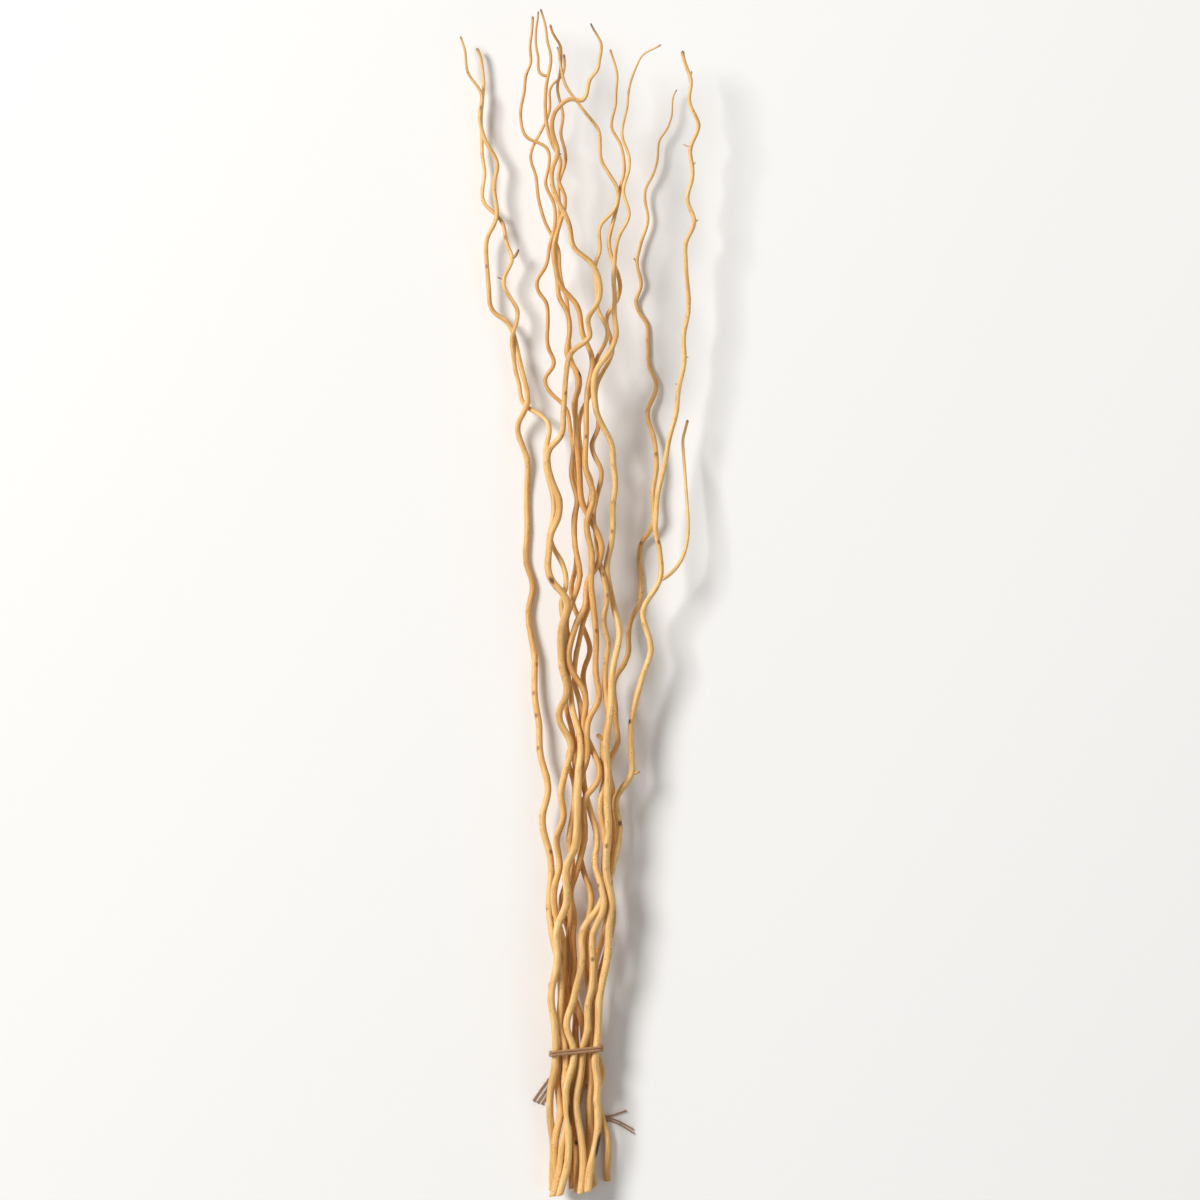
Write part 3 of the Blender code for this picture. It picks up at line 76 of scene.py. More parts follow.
# Each branch: its route from the cut end to the tip, its heights (y, z) and its radii (y, r).
ROUTES = {
    "branch_01": [
        (553, 1195), (558, 1178), (561, 1160), (562, 1146), (565, 1134), (567.5, 1118), (567, 1100),
        (565, 1082), (566, 1068), (565.5, 1055), (564, 1040), (561, 1030), (559.5, 1020), (560, 1010),
        (561, 1000), (561, 985), (560, 970), (558.5, 960), (556, 950), (553, 938), (551, 925),
        (549.5, 912), (549.3, 900), (550.5, 885), (551.5, 873), (550.5, 858), (548, 846), (544.5, 835),
        (542.5, 824), (542.5, 814), (546, 802), (548.5, 791), (547.5, 781), (544.5, 770), (541.5, 760),
        (539.5, 748), (539.5, 735), (539, 722), (536.5, 710), (534.6, 692), (534.6, 672), (534.6, 655),
        (531, 636), (528.4, 619), (529, 606), (532.9, 590), (532, 580), (526.6, 565), (525.7, 552),
        (527.5, 530), (526.6, 503), (527.5, 476), (527.5, 460), (522, 444), (518, 434), (517.7, 424),
        (524, 413), (528, 402), (527, 391), (524, 379), (521, 367), (518, 354), (515.5, 342),
        (512, 330), (508, 322), (501, 318), (493.6, 313), (489.6, 305), (489, 290), (487.3, 269),
        (486, 251), (487.3, 237), (493.6, 227), (497, 217), (497, 208), (495, 198), (494, 187),
        (495, 178), (498, 169), (496.5, 160), (491, 151), (486, 143), (482.5, 133), (479.5, 119),
        (480.5, 110), (482, 102), (482, 94), (477, 86), (471, 79), (467, 72), (466, 62), (465.5, 52),
        (462.5, 43), (460.5, 37)],
    "branch_02": [
        (552.5, 1190), (552.5, 1175), (553, 1160), (553.5, 1146), (552, 1132), (550.5, 1120),
        (550, 1108), (550.5, 1092), (552.5, 1078), (555, 1065), (555.5, 1053), (556, 1040),
        (555.5, 1030), (554.5, 1020), (552.5, 1010), (551, 1000), (551.5, 990), (553.5, 980),
        (556, 970), (557.5, 960), (557.5, 948), (556, 937), (557.5, 926), (561, 917), (565.5, 908),
        (567.5, 898), (567.5, 888), (566, 878), (566, 869), (568.5, 860), (573, 852), (576, 842),
        (577, 830), (577.5, 815), (577.5, 800), (578, 785), (578.5, 770), (580, 760), (581, 750),
        (580.5, 740), (578.5, 730), (575.5, 720), (573, 710), (571.5, 700), (571, 690), (569, 680),
        (566.5, 668), (565, 656), (566, 645), (566, 634), (564, 622), (561.5, 610), (561.5, 600),
        (565, 592), (566.5, 583), (565.5, 573), (563, 565), (558.5, 556), (553.5, 549), (550.5, 540),
        (550.5, 530), (553, 520), (554, 508), (553.5, 497), (550, 485), (546.8, 472), (545.5, 460),
        (546, 449), (548, 440), (550, 430), (548.5, 423), (544, 417.5), (537, 413), (530, 409.5),
        (524, 405), (520.5, 398), (520, 389), (518, 380), (515.5, 371), (514, 360), (512.5, 349),
        (511.5, 340), (513, 333), (516, 326), (518, 317), (517.5, 309), (513, 302), (507.5, 294),
        (503.5, 287), (503, 281), (506.5, 273), (511.5, 264), (513.5, 258), (509.5, 251),
        (506, 243), (505, 234), (504, 226), (500, 219), (494, 213), (487.5, 208), (483, 202),
        (481.8, 195), (483, 186), (485, 175), (483.8, 165), (482, 155), (482, 145), (481.5, 130),
        (481, 116), (482.5, 104), (483, 94), (484, 83), (482.5, 70), (481.5, 60), (479.5, 53),
        (476.5, 48.5)],
    "branch_03": [
        (557.5, 1188), (556, 1173), (555, 1160), (554.5, 1147), (556, 1134), (559, 1122), (561, 1112),
        (559.5, 1100), (558, 1088), (557.5, 1076), (559.5, 1064), (560, 1053), (560.5, 1035),
        (561.5, 1015), (562, 995), (562.5, 975), (563, 960), (563.5, 946), (562, 935), (559, 925),
        (556, 914), (554, 902), (554, 890), (556, 880), (559, 872), (560, 862), (558.5, 853),
        (556.5, 843), (557, 834), (561, 826), (564, 816), (563, 807), (561, 797), (561.5, 787),
        (564, 777), (566.5, 767), (569.5, 757), (571.5, 748), (570, 739), (565, 731), (560.5, 723),
        (558.5, 714), (561, 706), (566, 698), (567.5, 690), (566, 680), (562, 668), (561, 655),
        (560.5, 642), (561, 631), (563, 622), (566, 614), (568, 606), (566, 597), (560, 590),
        (554, 584), (549.5, 576), (547.8, 567), (548.5, 556), (549.5, 545), (550, 537), (552.5, 530),
        (557, 522), (559.5, 511), (559.5, 500), (556, 491), (552, 482), (548.5, 470), (547.5, 459),
        (549, 450), (555, 444), (561, 438), (563.5, 428), (563.5, 415), (564.5, 400), (565.5, 385),
        (567, 370), (569, 358), (573, 352), (580, 347), (588, 342), (591, 337), (589.5, 331),
        (587, 324), (589, 317), (594, 311), (599, 302), (600.5, 292), (599, 281), (595, 270),
        (588.5, 262), (581, 257), (574, 251), (571.5, 243), (570.5, 232), (567.5, 222), (563, 213),
        (559, 206), (555, 197), (552.5, 188), (551.5, 180), (552.5, 171), (556, 163), (558.5, 156),
        (557, 149), (553.5, 140), (552, 130), (553, 121), (556, 114), (561, 109), (567, 104),
        (573, 102), (578, 105), (583, 106), (586.5, 100), (588, 92), (589, 84), (593, 79),
        (598, 76), (598.5, 68), (600, 60), (602, 52), (600.5, 46), (596.5, 39), (593, 34), (590.5, 28)],
    "branch_04": [
        (572, 1188), (572, 1176), (571, 1160), (569.5, 1145), (568, 1130), (567.5, 1110), (568, 1090),
        (568, 1070), (567.5, 1053), (567.5, 1040), (566, 1025), (565.5, 1012), (567.5, 1000),
        (566, 985), (564.5, 970), (565, 956), (567, 944), (569.5, 932), (570.5, 920), (570, 908),
        (568, 898), (567, 888), (567, 876), (569, 864), (572, 853), (574.5, 841), (575.5, 827),
        (576.5, 812), (577.5, 797), (577.5, 783), (576, 772), (574.5, 760), (576, 748), (579, 735),
        (582, 720), (584.5, 707), (586, 694), (583.5, 684), (583, 674), (585.5, 664), (589.5, 655),
        (590, 646), (586.5, 636), (583, 627), (579, 618), (575, 610), (572, 600), (571, 588),
        (573.5, 577), (576, 567), (576.5, 555), (575, 540), (575, 525), (576, 512), (578, 500),
        (577.5, 488), (576, 474), (573.5, 460), (573, 450), (572, 440), (570, 430), (569.5, 420),
        (567.5, 411), (563.5, 405), (558, 400), (553, 396), (548, 390), (544.5, 383), (545, 377.5),
        (549, 373), (553.5, 368), (555, 361), (551, 355), (548, 348), (547, 338), (548, 327),
        (548, 315), (547, 303), (543, 298.5), (538, 293), (536.5, 286), (537, 280), (541, 275),
        (546, 268), (548.5, 258), (549.5, 247), (552.5, 238), (555, 228), (555.5, 217), (555, 208),
        (552, 200), (549, 194), (546, 189), (545, 183), (547.5, 175), (549.5, 165), (549.5, 155),
        (548, 149.5), (543, 146), (536, 143.5), (529, 141), (524, 136), (522, 128), (520.5, 117),
        (521.5, 107), (524, 97), (525, 90), (525.5, 78), (528, 72), (532, 64), (531, 58), (530, 48),
        (532, 35), (533, 18)],
    "branch_05": [
        (577.5, 1191), (577, 1178), (577, 1165), (577, 1152), (575, 1140), (573, 1120), (571.5, 1100),
        (572, 1085), (575, 1068), (577, 1053), (575.5, 1040), (575, 1030), (576, 1018), (575, 1004),
        (572, 992), (569.5, 980), (567.5, 968), (567.5, 956), (569.5, 944), (569, 932), (566, 921),
        (562, 911), (561.5, 901), (563.5, 891), (567, 882), (571, 872), (572.5, 862), (570.5, 852),
        (569, 841), (570, 830), (572, 818), (574, 805), (575, 793), (574.5, 782), (571.5, 773),
        (568.5, 764), (567.5, 755), (571, 747), (573.5, 738), (571.5, 728), (568.5, 718), (566, 707),
        (566, 695), (567, 680), (567, 665), (568.5, 650), (569, 640), (566.5, 630), (566, 620),
        (569, 610), (574, 598), (577.5, 588), (580, 577), (579.5, 567), (577, 556), (575, 545),
        (574, 532), (574, 520), (575.5, 511), (578, 503), (577, 496), (573.5, 485), (571.5, 476),
        (572, 465), (574, 450), (575, 430), (575.5, 410), (576.5, 395), (578, 382), (575, 370),
        (570.5, 358), (569, 342), (569, 325), (568, 312), (567, 302), (564.5, 292), (561, 280),
        (559.5, 268), (559.5, 258), (558.5, 249), (554.5, 241), (550, 233), (545, 223), (541.5, 212),
        (539, 202), (537.5, 192), (537, 182), (535, 173), (531.5, 165), (530.3, 158), (532, 150),
        (535.5, 143), (539.5, 136), (543.5, 128), (547, 121), (549.5, 114), (550.5, 106),
        (549.5, 97), (550, 89), (554.5, 84), (560, 81), (564, 75), (565, 66), (564, 56)],
    "branch_06": [
        (580.5, 1184), (579.5, 1168), (580.5, 1152), (580, 1138), (578, 1125), (576.5, 1112),
        (578, 1100), (581, 1089), (584, 1077), (584.5, 1065), (583.5, 1053), (584, 1038), (583, 1024),
        (579, 1012), (575, 1000), (572, 987), (573, 973), (574, 960), (573.5, 948), (572.5, 937),
        (573.5, 926), (574, 915), (572.5, 905), (570, 896), (571, 887), (574, 879), (577, 870),
        (579.5, 861), (582, 851), (584.5, 840), (585, 828), (584, 815), (583, 804), (586, 795),
        (592, 789), (597.5, 781), (600, 772), (598.5, 763), (594, 753), (590, 744), (586, 735),
        (583.5, 724), (585, 712), (586, 702), (585, 692), (581, 684), (575, 676), (570, 666),
        (568.5, 657), (569.5, 648), (572, 638), (575, 628), (578, 619), (583, 612), (586.5, 603),
        (586, 593), (587.5, 582), (591.5, 574), (597, 566), (601, 556), (602, 546), (598, 535),
        (593.5, 525), (588.5, 516), (583.5, 507), (581, 498), (580, 485), (579.5, 470), (578.5, 458),
        (577.5, 445), (577, 432), (576, 420), (574, 410), (575, 400), (578, 392), (580, 383),
        (578, 374), (573, 367), (568, 359), (566.5, 350), (569, 340), (570, 330), (568.5, 317),
        (565, 308), (559.5, 301), (558, 290), (557, 277), (556, 264), (555.5, 250), (557, 238),
        (559, 226), (559.5, 214), (559.5, 203), (558.5, 193), (559, 184), (562, 175), (565.5, 166),
        (566, 157), (564.5, 149), (561.5, 141), (560.5, 133), (562.5, 125), (563.5, 117),
        (561.5, 109), (559.5, 101), (557.5, 93), (557.5, 86), (560, 78), (561, 68), (561.5, 58),
        (561, 48), (557, 42), (552.5, 36), (550.5, 27)],
    "branch_07": [
        (559.5, 1194), (563, 1181), (566.5, 1169), (568.5, 1155), (568.8, 1140), (568.3, 1126),
        (567, 1112), (566, 1101), (565.8, 1091), (567.5, 1081), (570.5, 1071), (573.5, 1060),
        (574, 1050), (572.5, 1042), (569, 1034), (566.5, 1026), (567, 1018), (570, 1009), (573.5, 1000),
        (575.5, 990), (578, 980), (580.5, 970), (582, 960), (582, 948), (581, 938), (582.5, 929),
        (587, 921), (593, 914), (598.5, 907), (602, 900), (604.5, 891), (608, 881), (612, 869),
        (614.5, 858), (617, 847), (619, 836), (619.5, 826), (617.5, 816), (615.5, 806), (616, 797),
        (621, 789), (627.5, 781), (632, 773), (631.7, 762), (631, 748), (630.8, 735), (631.5, 722),
        (633.5, 710), (636.5, 697), (640, 684), (644, 671), (648.5, 660), (651, 650), (649.5, 640),
        (646, 629), (643, 619), (642.5, 610), (647.5, 600), (654, 591), (659, 582), (661.3, 571),
        (660, 557), (658.5, 545), (656, 535), (654.8, 527), (656, 515), (656.5, 502), (658, 492),
        (660.5, 482), (663.5, 470), (666, 457), (668, 444), (671, 432), (674.2, 421), (676.6, 410),
        (677.3, 398), (678.7, 387), (681.3, 376), (683.7, 366), (684.3, 355), (683, 343),
        (683.5, 333), (686, 323), (688, 313), (688.3, 300), (687.3, 288), (685.8, 275), (685.3, 262),
        (684.5, 250), (686, 241), (691, 233), (694.5, 224), (693, 217), (688.3, 208), (686.3, 201),
        (688, 192), (691.5, 183), (692.3, 172), (691, 163), (689, 153), (691, 146), (695.5, 137),
        (699, 128), (696, 120), (691, 111), (688, 102), (689, 95), (691, 87), (690, 79), (686, 70),
        (683, 61), (682, 53)],
    "branch_08": [
        (581, 1192), (582, 1180), (583, 1168), (583, 1155), (582, 1142), (580, 1130), (577.5, 1117),
        (576, 1104), (576.7, 1092), (579.5, 1080), (581.5, 1067), (582.5, 1053), (583, 1045),
        (585.5, 1037), (588, 1028), (588, 1018), (587.5, 1008), (589, 998), (592, 988), (593, 978),
        (593, 965), (592.5, 952), (592, 940), (594, 929), (599, 919), (603, 909), (604, 899),
        (602, 889), (600, 880), (596.5, 871), (594.5, 860), (596, 850), (597, 838), (595, 825),
        (591, 813), (588, 802), (585, 791), (583.5, 781), (583, 771), (583, 760), (582.5, 748),
        (582, 735), (581.5, 722), (581, 710), (579.5, 700), (576.5, 691), (574.5, 682), (574.5, 672),
        (575.5, 660), (577, 650), (579.5, 640), (581.5, 629), (584.5, 618), (588.5, 608), (590.5, 597),
        (590.5, 583), (591, 568), (590.5, 553), (588.5, 540), (587, 525), (588, 512), (590.5, 501),
        (591.5, 490), (591.5, 481), (588, 473), (584, 466), (581.5, 457), (580, 444), (578.5, 431),
        (579.5, 419), (582, 411), (586.5, 403), (589.5, 396), (592.5, 386), (594.5, 376), (595, 366),
        (598, 357), (602.5, 349), (606.5, 341), (608, 333), (606, 326), (601.5, 319), (597.5, 311),
        (596.5, 301), (597, 290), (595.5, 279), (594.3, 268), (597.5, 260), (600.3, 252), (599.5, 243),
        (598.5, 233), (600.5, 226), (606.5, 220), (613, 214), (617, 206), (618.5, 196), (616, 187),
        (611, 180), (606.5, 172), (601.5, 165), (600, 155), (600, 140), (598, 131), (591.5, 123),
        (585, 115), (579.5, 108), (574.5, 101), (569.5, 95), (564.5, 86), (562.3, 76), (560, 63),
        (557.8, 50)],
    "branch_09": [
        (588, 1190), (588.5, 1180), (590, 1168), (592.5, 1157), (595.5, 1145), (597.5, 1132),
        (598, 1120), (597.5, 1108), (597, 1096), (598, 1085), (596.7, 1073), (595, 1062),
        (595.5, 1053), (597.5, 1040), (598.5, 1025), (598.5, 1012), (599, 1000), (601, 988),
        (603.5, 975), (606.5, 962), (608.3, 950), (608.5, 938), (608.5, 926), (609.8, 916),
        (611.5, 906), (611.5, 897), (609.5, 887), (607, 877), (606, 864), (606.5, 850), (608, 836),
        (608.5, 822), (607.3, 808), (607, 795), (608, 782), (608, 770), (606.5, 758), (606, 746),
        (607.5, 733), (609.5, 720), (611, 707), (611, 695), (611.5, 680), (613, 667), (615.5, 655),
        (618, 645), (619.5, 634), (618.5, 624), (615.5, 614), (613, 603), (610.5, 592), (608, 580),
        (606.5, 568), (608, 558), (610.5, 548), (612, 537), (613, 525), (612.5, 512), (613, 500),
        (615, 490), (615.3, 478), (613, 467), (613, 455), (611, 443), (606, 433), (600, 422),
        (595.5, 410), (594, 395), (593.5, 383), (596, 372), (601, 364), (607, 357), (612, 349),
        (616, 338), (616, 328), (614, 317), (614.5, 305), (614.5, 295), (613.5, 285), (613.5, 275),
        (614.5, 264), (615.8, 250), (618, 240), (622.5, 231), (627.5, 223), (629.5, 215), (627, 207),
        (624, 199), (622.7, 191), (625.3, 183), (628.3, 174), (629.6, 163), (627.3, 153),
        (623, 144), (621.5, 136), (622.7, 127), (625.3, 117), (627.5, 107), (628, 96), (630.3, 85),
        (633.3, 76), (637.3, 67), (641, 58.5), (647, 54.5), (655, 51), (661, 47.5)],
    "branch_10": [
        (583.5, 1189), (584, 1178), (585.5, 1163), (588, 1148), (589.7, 1133), (589.7, 1118),
        (589.7, 1104), (590.5, 1090), (591.3, 1078), (590.3, 1065), (589.5, 1053), (590.5, 1040),
        (592, 1025), (592.5, 1010), (591, 998), (589, 986), (587, 973), (585.7, 960), (585.7, 945),
        (586.3, 932), (588, 920), (590, 910), (591.5, 900), (590, 889), (586, 878), (582.3, 866),
        (580, 856), (580, 845), (580.5, 830), (579, 815), (577.5, 800), (578, 790), (579.7, 780),
        (583, 771), (586.3, 762), (588, 752), (587.5, 741), (587, 730), (588.7, 719), (593, 711),
        (598, 703), (599.3, 693), (597.3, 683), (595.7, 672), (595.5, 660), (596.3, 645), (596, 632),
        (594.5, 617), (593, 602), (591.3, 590), (591.3, 578), (592, 566), (592, 553), (589, 541),
        (586.7, 530), (586.7, 521), (590, 511), (593.3, 502), (593.5, 493), (590.5, 484), (586.7, 474),
        (585, 464), (585.5, 450), (586.3, 437), (586.3, 420), (586.5, 405), (587.5, 391), (590, 379),
        (592.3, 368), (592, 357), (588, 347), (583.3, 338), (581, 327), (580, 315), (576, 305),
        (570, 298), (563, 291), (559, 283), (556.5, 273), (554.5, 262), (553.7, 250), (555.5, 240),
        (559, 229), (562, 219), (565, 210), (565.7, 202), (564, 194), (560, 187), (557.7, 180),
        (560, 171), (561.5, 164), (558.5, 157), (554, 150), (550, 140), (547.5, 130), (546, 120),
        (545.5, 108), (545.7, 98), (546.5, 88), (548, 79), (550.3, 71), (551.5, 62), (550, 53),
        (547.5, 45), (546.5, 33), (544, 22), (540.7, 12)],
    "branch_11": [
        (594.7, 1186), (592, 1174), (592.5, 1160), (595.5, 1145), (597, 1125), (597, 1105),
        (598.2, 1089), (601.8, 1077), (601.4, 1066), (596.3, 1053), (595, 1040), (595.2, 1025),
        (595, 1010), (594.5, 996), (594, 983), (594, 970), (596.5, 958), (600, 946), (604, 933),
        (607, 920), (607.5, 907), (606.5, 893), (605, 880), (604, 868), (605, 855), (605.5, 841),
        (604, 829), (601, 818), (600, 808), (601, 797), (603.5, 786), (605.5, 775), (604, 764),
        (602.5, 753), (603, 742), (605.5, 732), (608, 722), (608.5, 712), (606.7, 700), (605, 688),
        (605, 675), (605.5, 662), (607.5, 652), (608.5, 643), (605.7, 632), (603.5, 622), (604.5, 612),
        (607, 602), (606.5, 592), (604.5, 582), (602, 572), (599, 561), (597.5, 550), (596.5, 540),
        (595, 529), (593, 518), (594.3, 508), (598, 492), (601, 481), (601.7, 471), (598, 463),
        (594, 456), (591.3, 447), (592.5, 441), (597, 433), (599, 424), (597, 411), (595, 396),
        (597, 384), (602, 374), (608, 364), (612.5, 353), (611, 341), (607.5, 331), (605.5, 322),
        (607.5, 315), (613, 308), (617.5, 300), (620, 291), (619.7, 282), (617, 274), (613.7, 266),
        (611, 257), (608.5, 247), (609, 238), (612, 228), (614.7, 217), (617.3, 207), (619, 197),
        (620.7, 187), (623.5, 178), (624.3, 168), (623, 158), (621, 148), (617, 140), (611.5, 132),
        (611, 125), (613.7, 115), (616, 105), (615.7, 95), (617.3, 82), (616.5, 72), (613, 62),
        (610, 52)],
    "branch_12": [
        (607.2, 1181), (607.3, 1168), (608, 1155), (608, 1140), (605, 1127), (601, 1114), (597.5, 1100),
        (595, 1085), (593.5, 1068), (592.3, 1053), (594, 1038), (596, 1022), (597.3, 1008), (597.3, 993),
        (598.5, 980), (601.5, 968), (605.5, 955), (609, 942), (611.3, 929), (613, 918), (613, 908),
        (611.5, 897), (610, 885), (609.5, 872), (611, 860), (613.5, 848), (614.5, 836), (614, 820),
        (613, 804), (612.5, 792), (611, 782), (608.5, 773), (608.5, 763), (611, 756), (615, 750),
        (618, 742), (618, 734), (615.7, 725), (615.7, 713), (614.7, 702), (613.3, 692), (613.7, 682),
        (616.5, 674), (621.3, 669), (626, 660), (629.3, 650), (628.3, 642), (628.3, 634), (629.3, 625),
        (632.3, 616), (638, 607), (640.5, 597), (641.3, 583), (641, 572), (639.2, 562), (639.5, 552),
        (641, 543), (645, 537.5), (650, 531), (653, 524), (654.5, 515), (653.7, 507), (652.3, 497),
        (653, 488), (655.3, 477), (656.5, 466), (656, 455), (655, 445), (653, 434), (649.3, 425),
        (647, 415), (648, 407), (653, 399), (656, 390), (656.7, 381), (653, 375), (649.3, 368),
        (648, 360), (648.7, 350), (647.7, 340), (648.5, 330), (646, 321), (641, 316), (637, 308),
        (635, 300), (638, 295), (641, 288), (641.3, 279), (638.5, 273), (637, 265), (637, 257),
        (639, 252), (641, 242), (645, 232), (648, 222), (648, 214), (645.3, 205), (644.7, 196),
        (645.5, 188), (651, 179), (655, 170), (657.5, 160), (658, 150), (658.5, 141), (662, 136),
        (667, 130), (670, 122), (672.3, 115), (672, 106), (672.7, 98), (674.3, 93), (677, 90)],
}

HEIGHTS = {
    "branch_01": [(1195, 24), (1053, 31), (990, 31), (955, 28), (900, 26), (800, 20), (700, 12),
                  (610, 4), (560, 2.0), (490, 2.0), (450, 8), (406, 19), (370, 20), (333, 14), (300, 14),
                  (214, 19), (140, 17), (90, 17), (37, 20)],
    "branch_02": [(1190, 2.8), (1165, 4), (1110, 24), (1053, 31), (1000, 32), (950, 36), (925, 40),
                  (890, 44), (830, 46), (735, 44), (700, 42), (655, 42), (620, 46), (560, 46),
                  (500, 46), (465, 42), (448, 36), (430, 28), (413, 18), (405, 13), (370, 15), (333, 21),
                  (260, 20), (214, 12), (140, 9), (48, 10)],
    "branch_03": [(1188, 15), (1165, 21), (1100, 24), (1053, 23), (950, 24), (925, 28), (880, 34),
                  (840, 38), (790, 40), (745, 44), (714, 46), (690, 50), (655, 52), (620, 56),
                  (597, 58), (537, 56), (500, 60), (445, 66), (400, 72), (355, 78), (290, 84), (190, 86),
                  (130, 94), (106, 100), (28, 108)],
    "branch_04": [(1188, 12), (1120, 14), (1053, 18.8), (1000, 20), (930, 24), (800, 27), (700, 27),
                  (646, 23), (577, 25), (510, 28), (460, 33), (415, 31), (380, 30), (300, 34), (250, 42),
                  (150, 42), (18, 40)],
    "branch_05": [(1191, 24), (1140, 20), (1053, 23), (1000, 19), (920, 20), (870, 23), (830, 31),
                  (750, 32), (650, 40), (600, 44), (560, 46), (510, 48), (440, 44), (370, 40), (310, 36),
                  (240, 32), (143, 33), (90, 40), (56, 45)],
    "branch_06": [(1184, 10), (1120, 12), (1053, 15.5), (1010, 17), (960, 24), (888, 28), (860, 38),
                  (795, 42), (772, 44), (744, 40), (700, 44), (655, 48), (600, 46), (575, 44), (546, 48),
                  (515, 47), (480, 50), (440, 54), (400, 55), (357, 55), (300, 54), (215, 50), (150, 50),
                  (27, 55)],
    "branch_07": [(1194, 31), (1053, 31), (980, 40), (915, 40), (895, 34), (878, 30), (828, 31), (722, 34),
                  (607, 38), (515, 41), (400, 40), (250, 45), (53, 55)],
    "branch_08": [(1192, 16), (1110, 24), (1053, 31), (990, 38), (905, 44), (881, 42), (850, 36),
                  (813, 32), (775, 30), (722, 36), (690, 34), (650, 38), (600, 42), (500, 46), (455, 42),
                  (410, 44), (366, 52), (335, 62), (290, 66), (226, 64), (190, 64), (107, 74), (50, 76)],
    "branch_09": [(1190, 29), (1053, 31), (950, 38), (850, 42), (750, 46), (712, 46), (620, 43), (590, 40),
                  (470, 44), (440, 50), (400, 60), (364, 66), (265, 66), (190, 65), (143, 66), (47, 64)],
    "branch_10": [(1189, 14), (1110, 18), (1053, 23), (985, 26), (900, 30), (860, 28), (830, 33),
                  (790, 40), (765, 44), (741, 48), (650, 50), (566, 52), (511, 56), (450, 58),
                  (367, 62), (262, 62), (183, 60), (12, 68)],
    "branch_11": [(1186, 8), (1100, 14), (1053, 23), (970, 26), (920, 30), (870, 34), (808, 38), (760, 40),
                  (735, 48), (712, 53), (662, 52), (592, 50), (560, 40), (508, 45), (471, 50), (427, 50),
                  (365, 57), (340, 52), (320, 52), (285, 58), (250, 58), (190, 60), (143, 58), (52, 60)],
    "branch_12": [(1181, 2.6), (1158, 3.6), (1130, 6.5), (1110, 8.5), (1085, 11.5), (1053, 15.5),
                  (960, 18), (850, 20),
                  (762, 24), (713, 22), (665, 19), (640, 14), (607, 8), (590, 1.6), (555, 1.6), (540, 7),
                  (515, 15), (450, 12), (400, 8), (358, 1.2), (322, 1.2), (280, 6), (90, 12)],
}

RADII = {
    "branch_01": [(1195, 3.7), (900, 3.4), (700, 3.2), (450, 2.9), (300, 2.25), (110, 2.0), (80, 1.5),
                  (37, 1.2)],
    "branch_02": [(1190, 3.7), (800, 3.8), (700, 2.7), (600, 2.6), (450, 2.7), (400, 2.2), (250, 1.9),
                  (48, 1.6)],
    "branch_03": [(1188, 3.7), (1000, 3.3), (700, 3.4), (500, 3.4), (400, 2.8), (250, 2.5), (130, 2.3),
                  (60, 1.8), (28, 0.9)],
    "branch_04": [(1188, 3.6), (950, 2.9), (700, 2.8), (560, 2.4), (450, 2.0), (250, 1.9), (18, 1.3)],
    "branch_05": [(1191, 3.6), (900, 3.2), (740, 2.5), (600, 2.9), (510, 2.8), (400, 2.3), (240, 1.7),
                  (56, 1.2)],
    "branch_06": [(1184, 3.5), (900, 3.2), (700, 3.1), (500, 2.9), (400, 2.9), (300, 2.5), (200, 1.8),
                  (27, 1.2)],
    "branch_07": [(1194, 3.7), (850, 3.4), (700, 3.2), (570, 2.7), (450, 2.4), (200, 2.2), (53, 1.9)],
    "branch_08": [(1192, 3.8), (1000, 3.6), (880, 3.2), (700, 2.7), (450, 2.3), (300, 2.0), (160, 1.9),
                  (50, 1.3)],
    "branch_09": [(1190, 3.9), (900, 3.7), (700, 3.4), (500, 3.0), (350, 2.7), (240, 1.9), (110, 1.4),
                  (47, 0.9)],
    "branch_10": [(1189, 3.8), (900, 3.0), (700, 3.0), (500, 3.0), (400, 2.7), (270, 2.7), (200, 1.9),
                  (80, 1.7), (12, 1.0)],
    "branch_11": [(1186, 3.7), (950, 3.3), (700, 3.0), (560, 2.6), (450, 2.3), (270, 2.2), (150, 1.6),
                  (52, 1.2)],
    "branch_12": [(1181, 3.5), (950, 3.2), (720, 2.8), (560, 2.6), (440, 2.4), (300, 1.8), (160, 1.3),
                  (90, 0.8)],
}

# Forks and stubs: the branch that each grows from, its route (x, y, height over its root) and radii.
FORKS = [
    ("branch_07", [(661, 580, 0), (665, 577.5, 0), (671, 573, -1), (678, 565, -3), (684, 553, -5),
                   (687.3, 538, -7), (688, 523, -8), (687, 508, -9), (685.7, 490, -10),
                   (684.3, 468, -11), (683, 450, -12), (682.7, 440, -12), (685, 430, -12),
                   (687.7, 420, -12)], 2.0, 1.5),
    ("branch_10", [(548, 79, 0), (544.5, 78.3, 0), (540.3, 76.3, -1), (538.5, 70, -2), (538.5, 60, -2),
                   (537, 53, -3), (536, 43, -4), (536.5, 32, -5), (538, 22, -5), (538.5, 14, -5)], 1.6, 1.0),
    ("branch_02", [(513.5, 259.5, 0), (516, 256, 1), (519, 249.5, 2)], 1.7, 1.1),
    ("branch_07", [(632, 773, 0), (636, 772.5, 0), (640, 771, 1)], 2.5, 0.9),
    ("branch_11", [(604.5, 740, 0), (600.5, 737, 2), (596.8, 733.5, 4)], 2.6, 2.0),
    ("branch_07", [(690, 80, 0), (691, 76, 1), (691.3, 73, 1)], 1.2, 0.7),
]

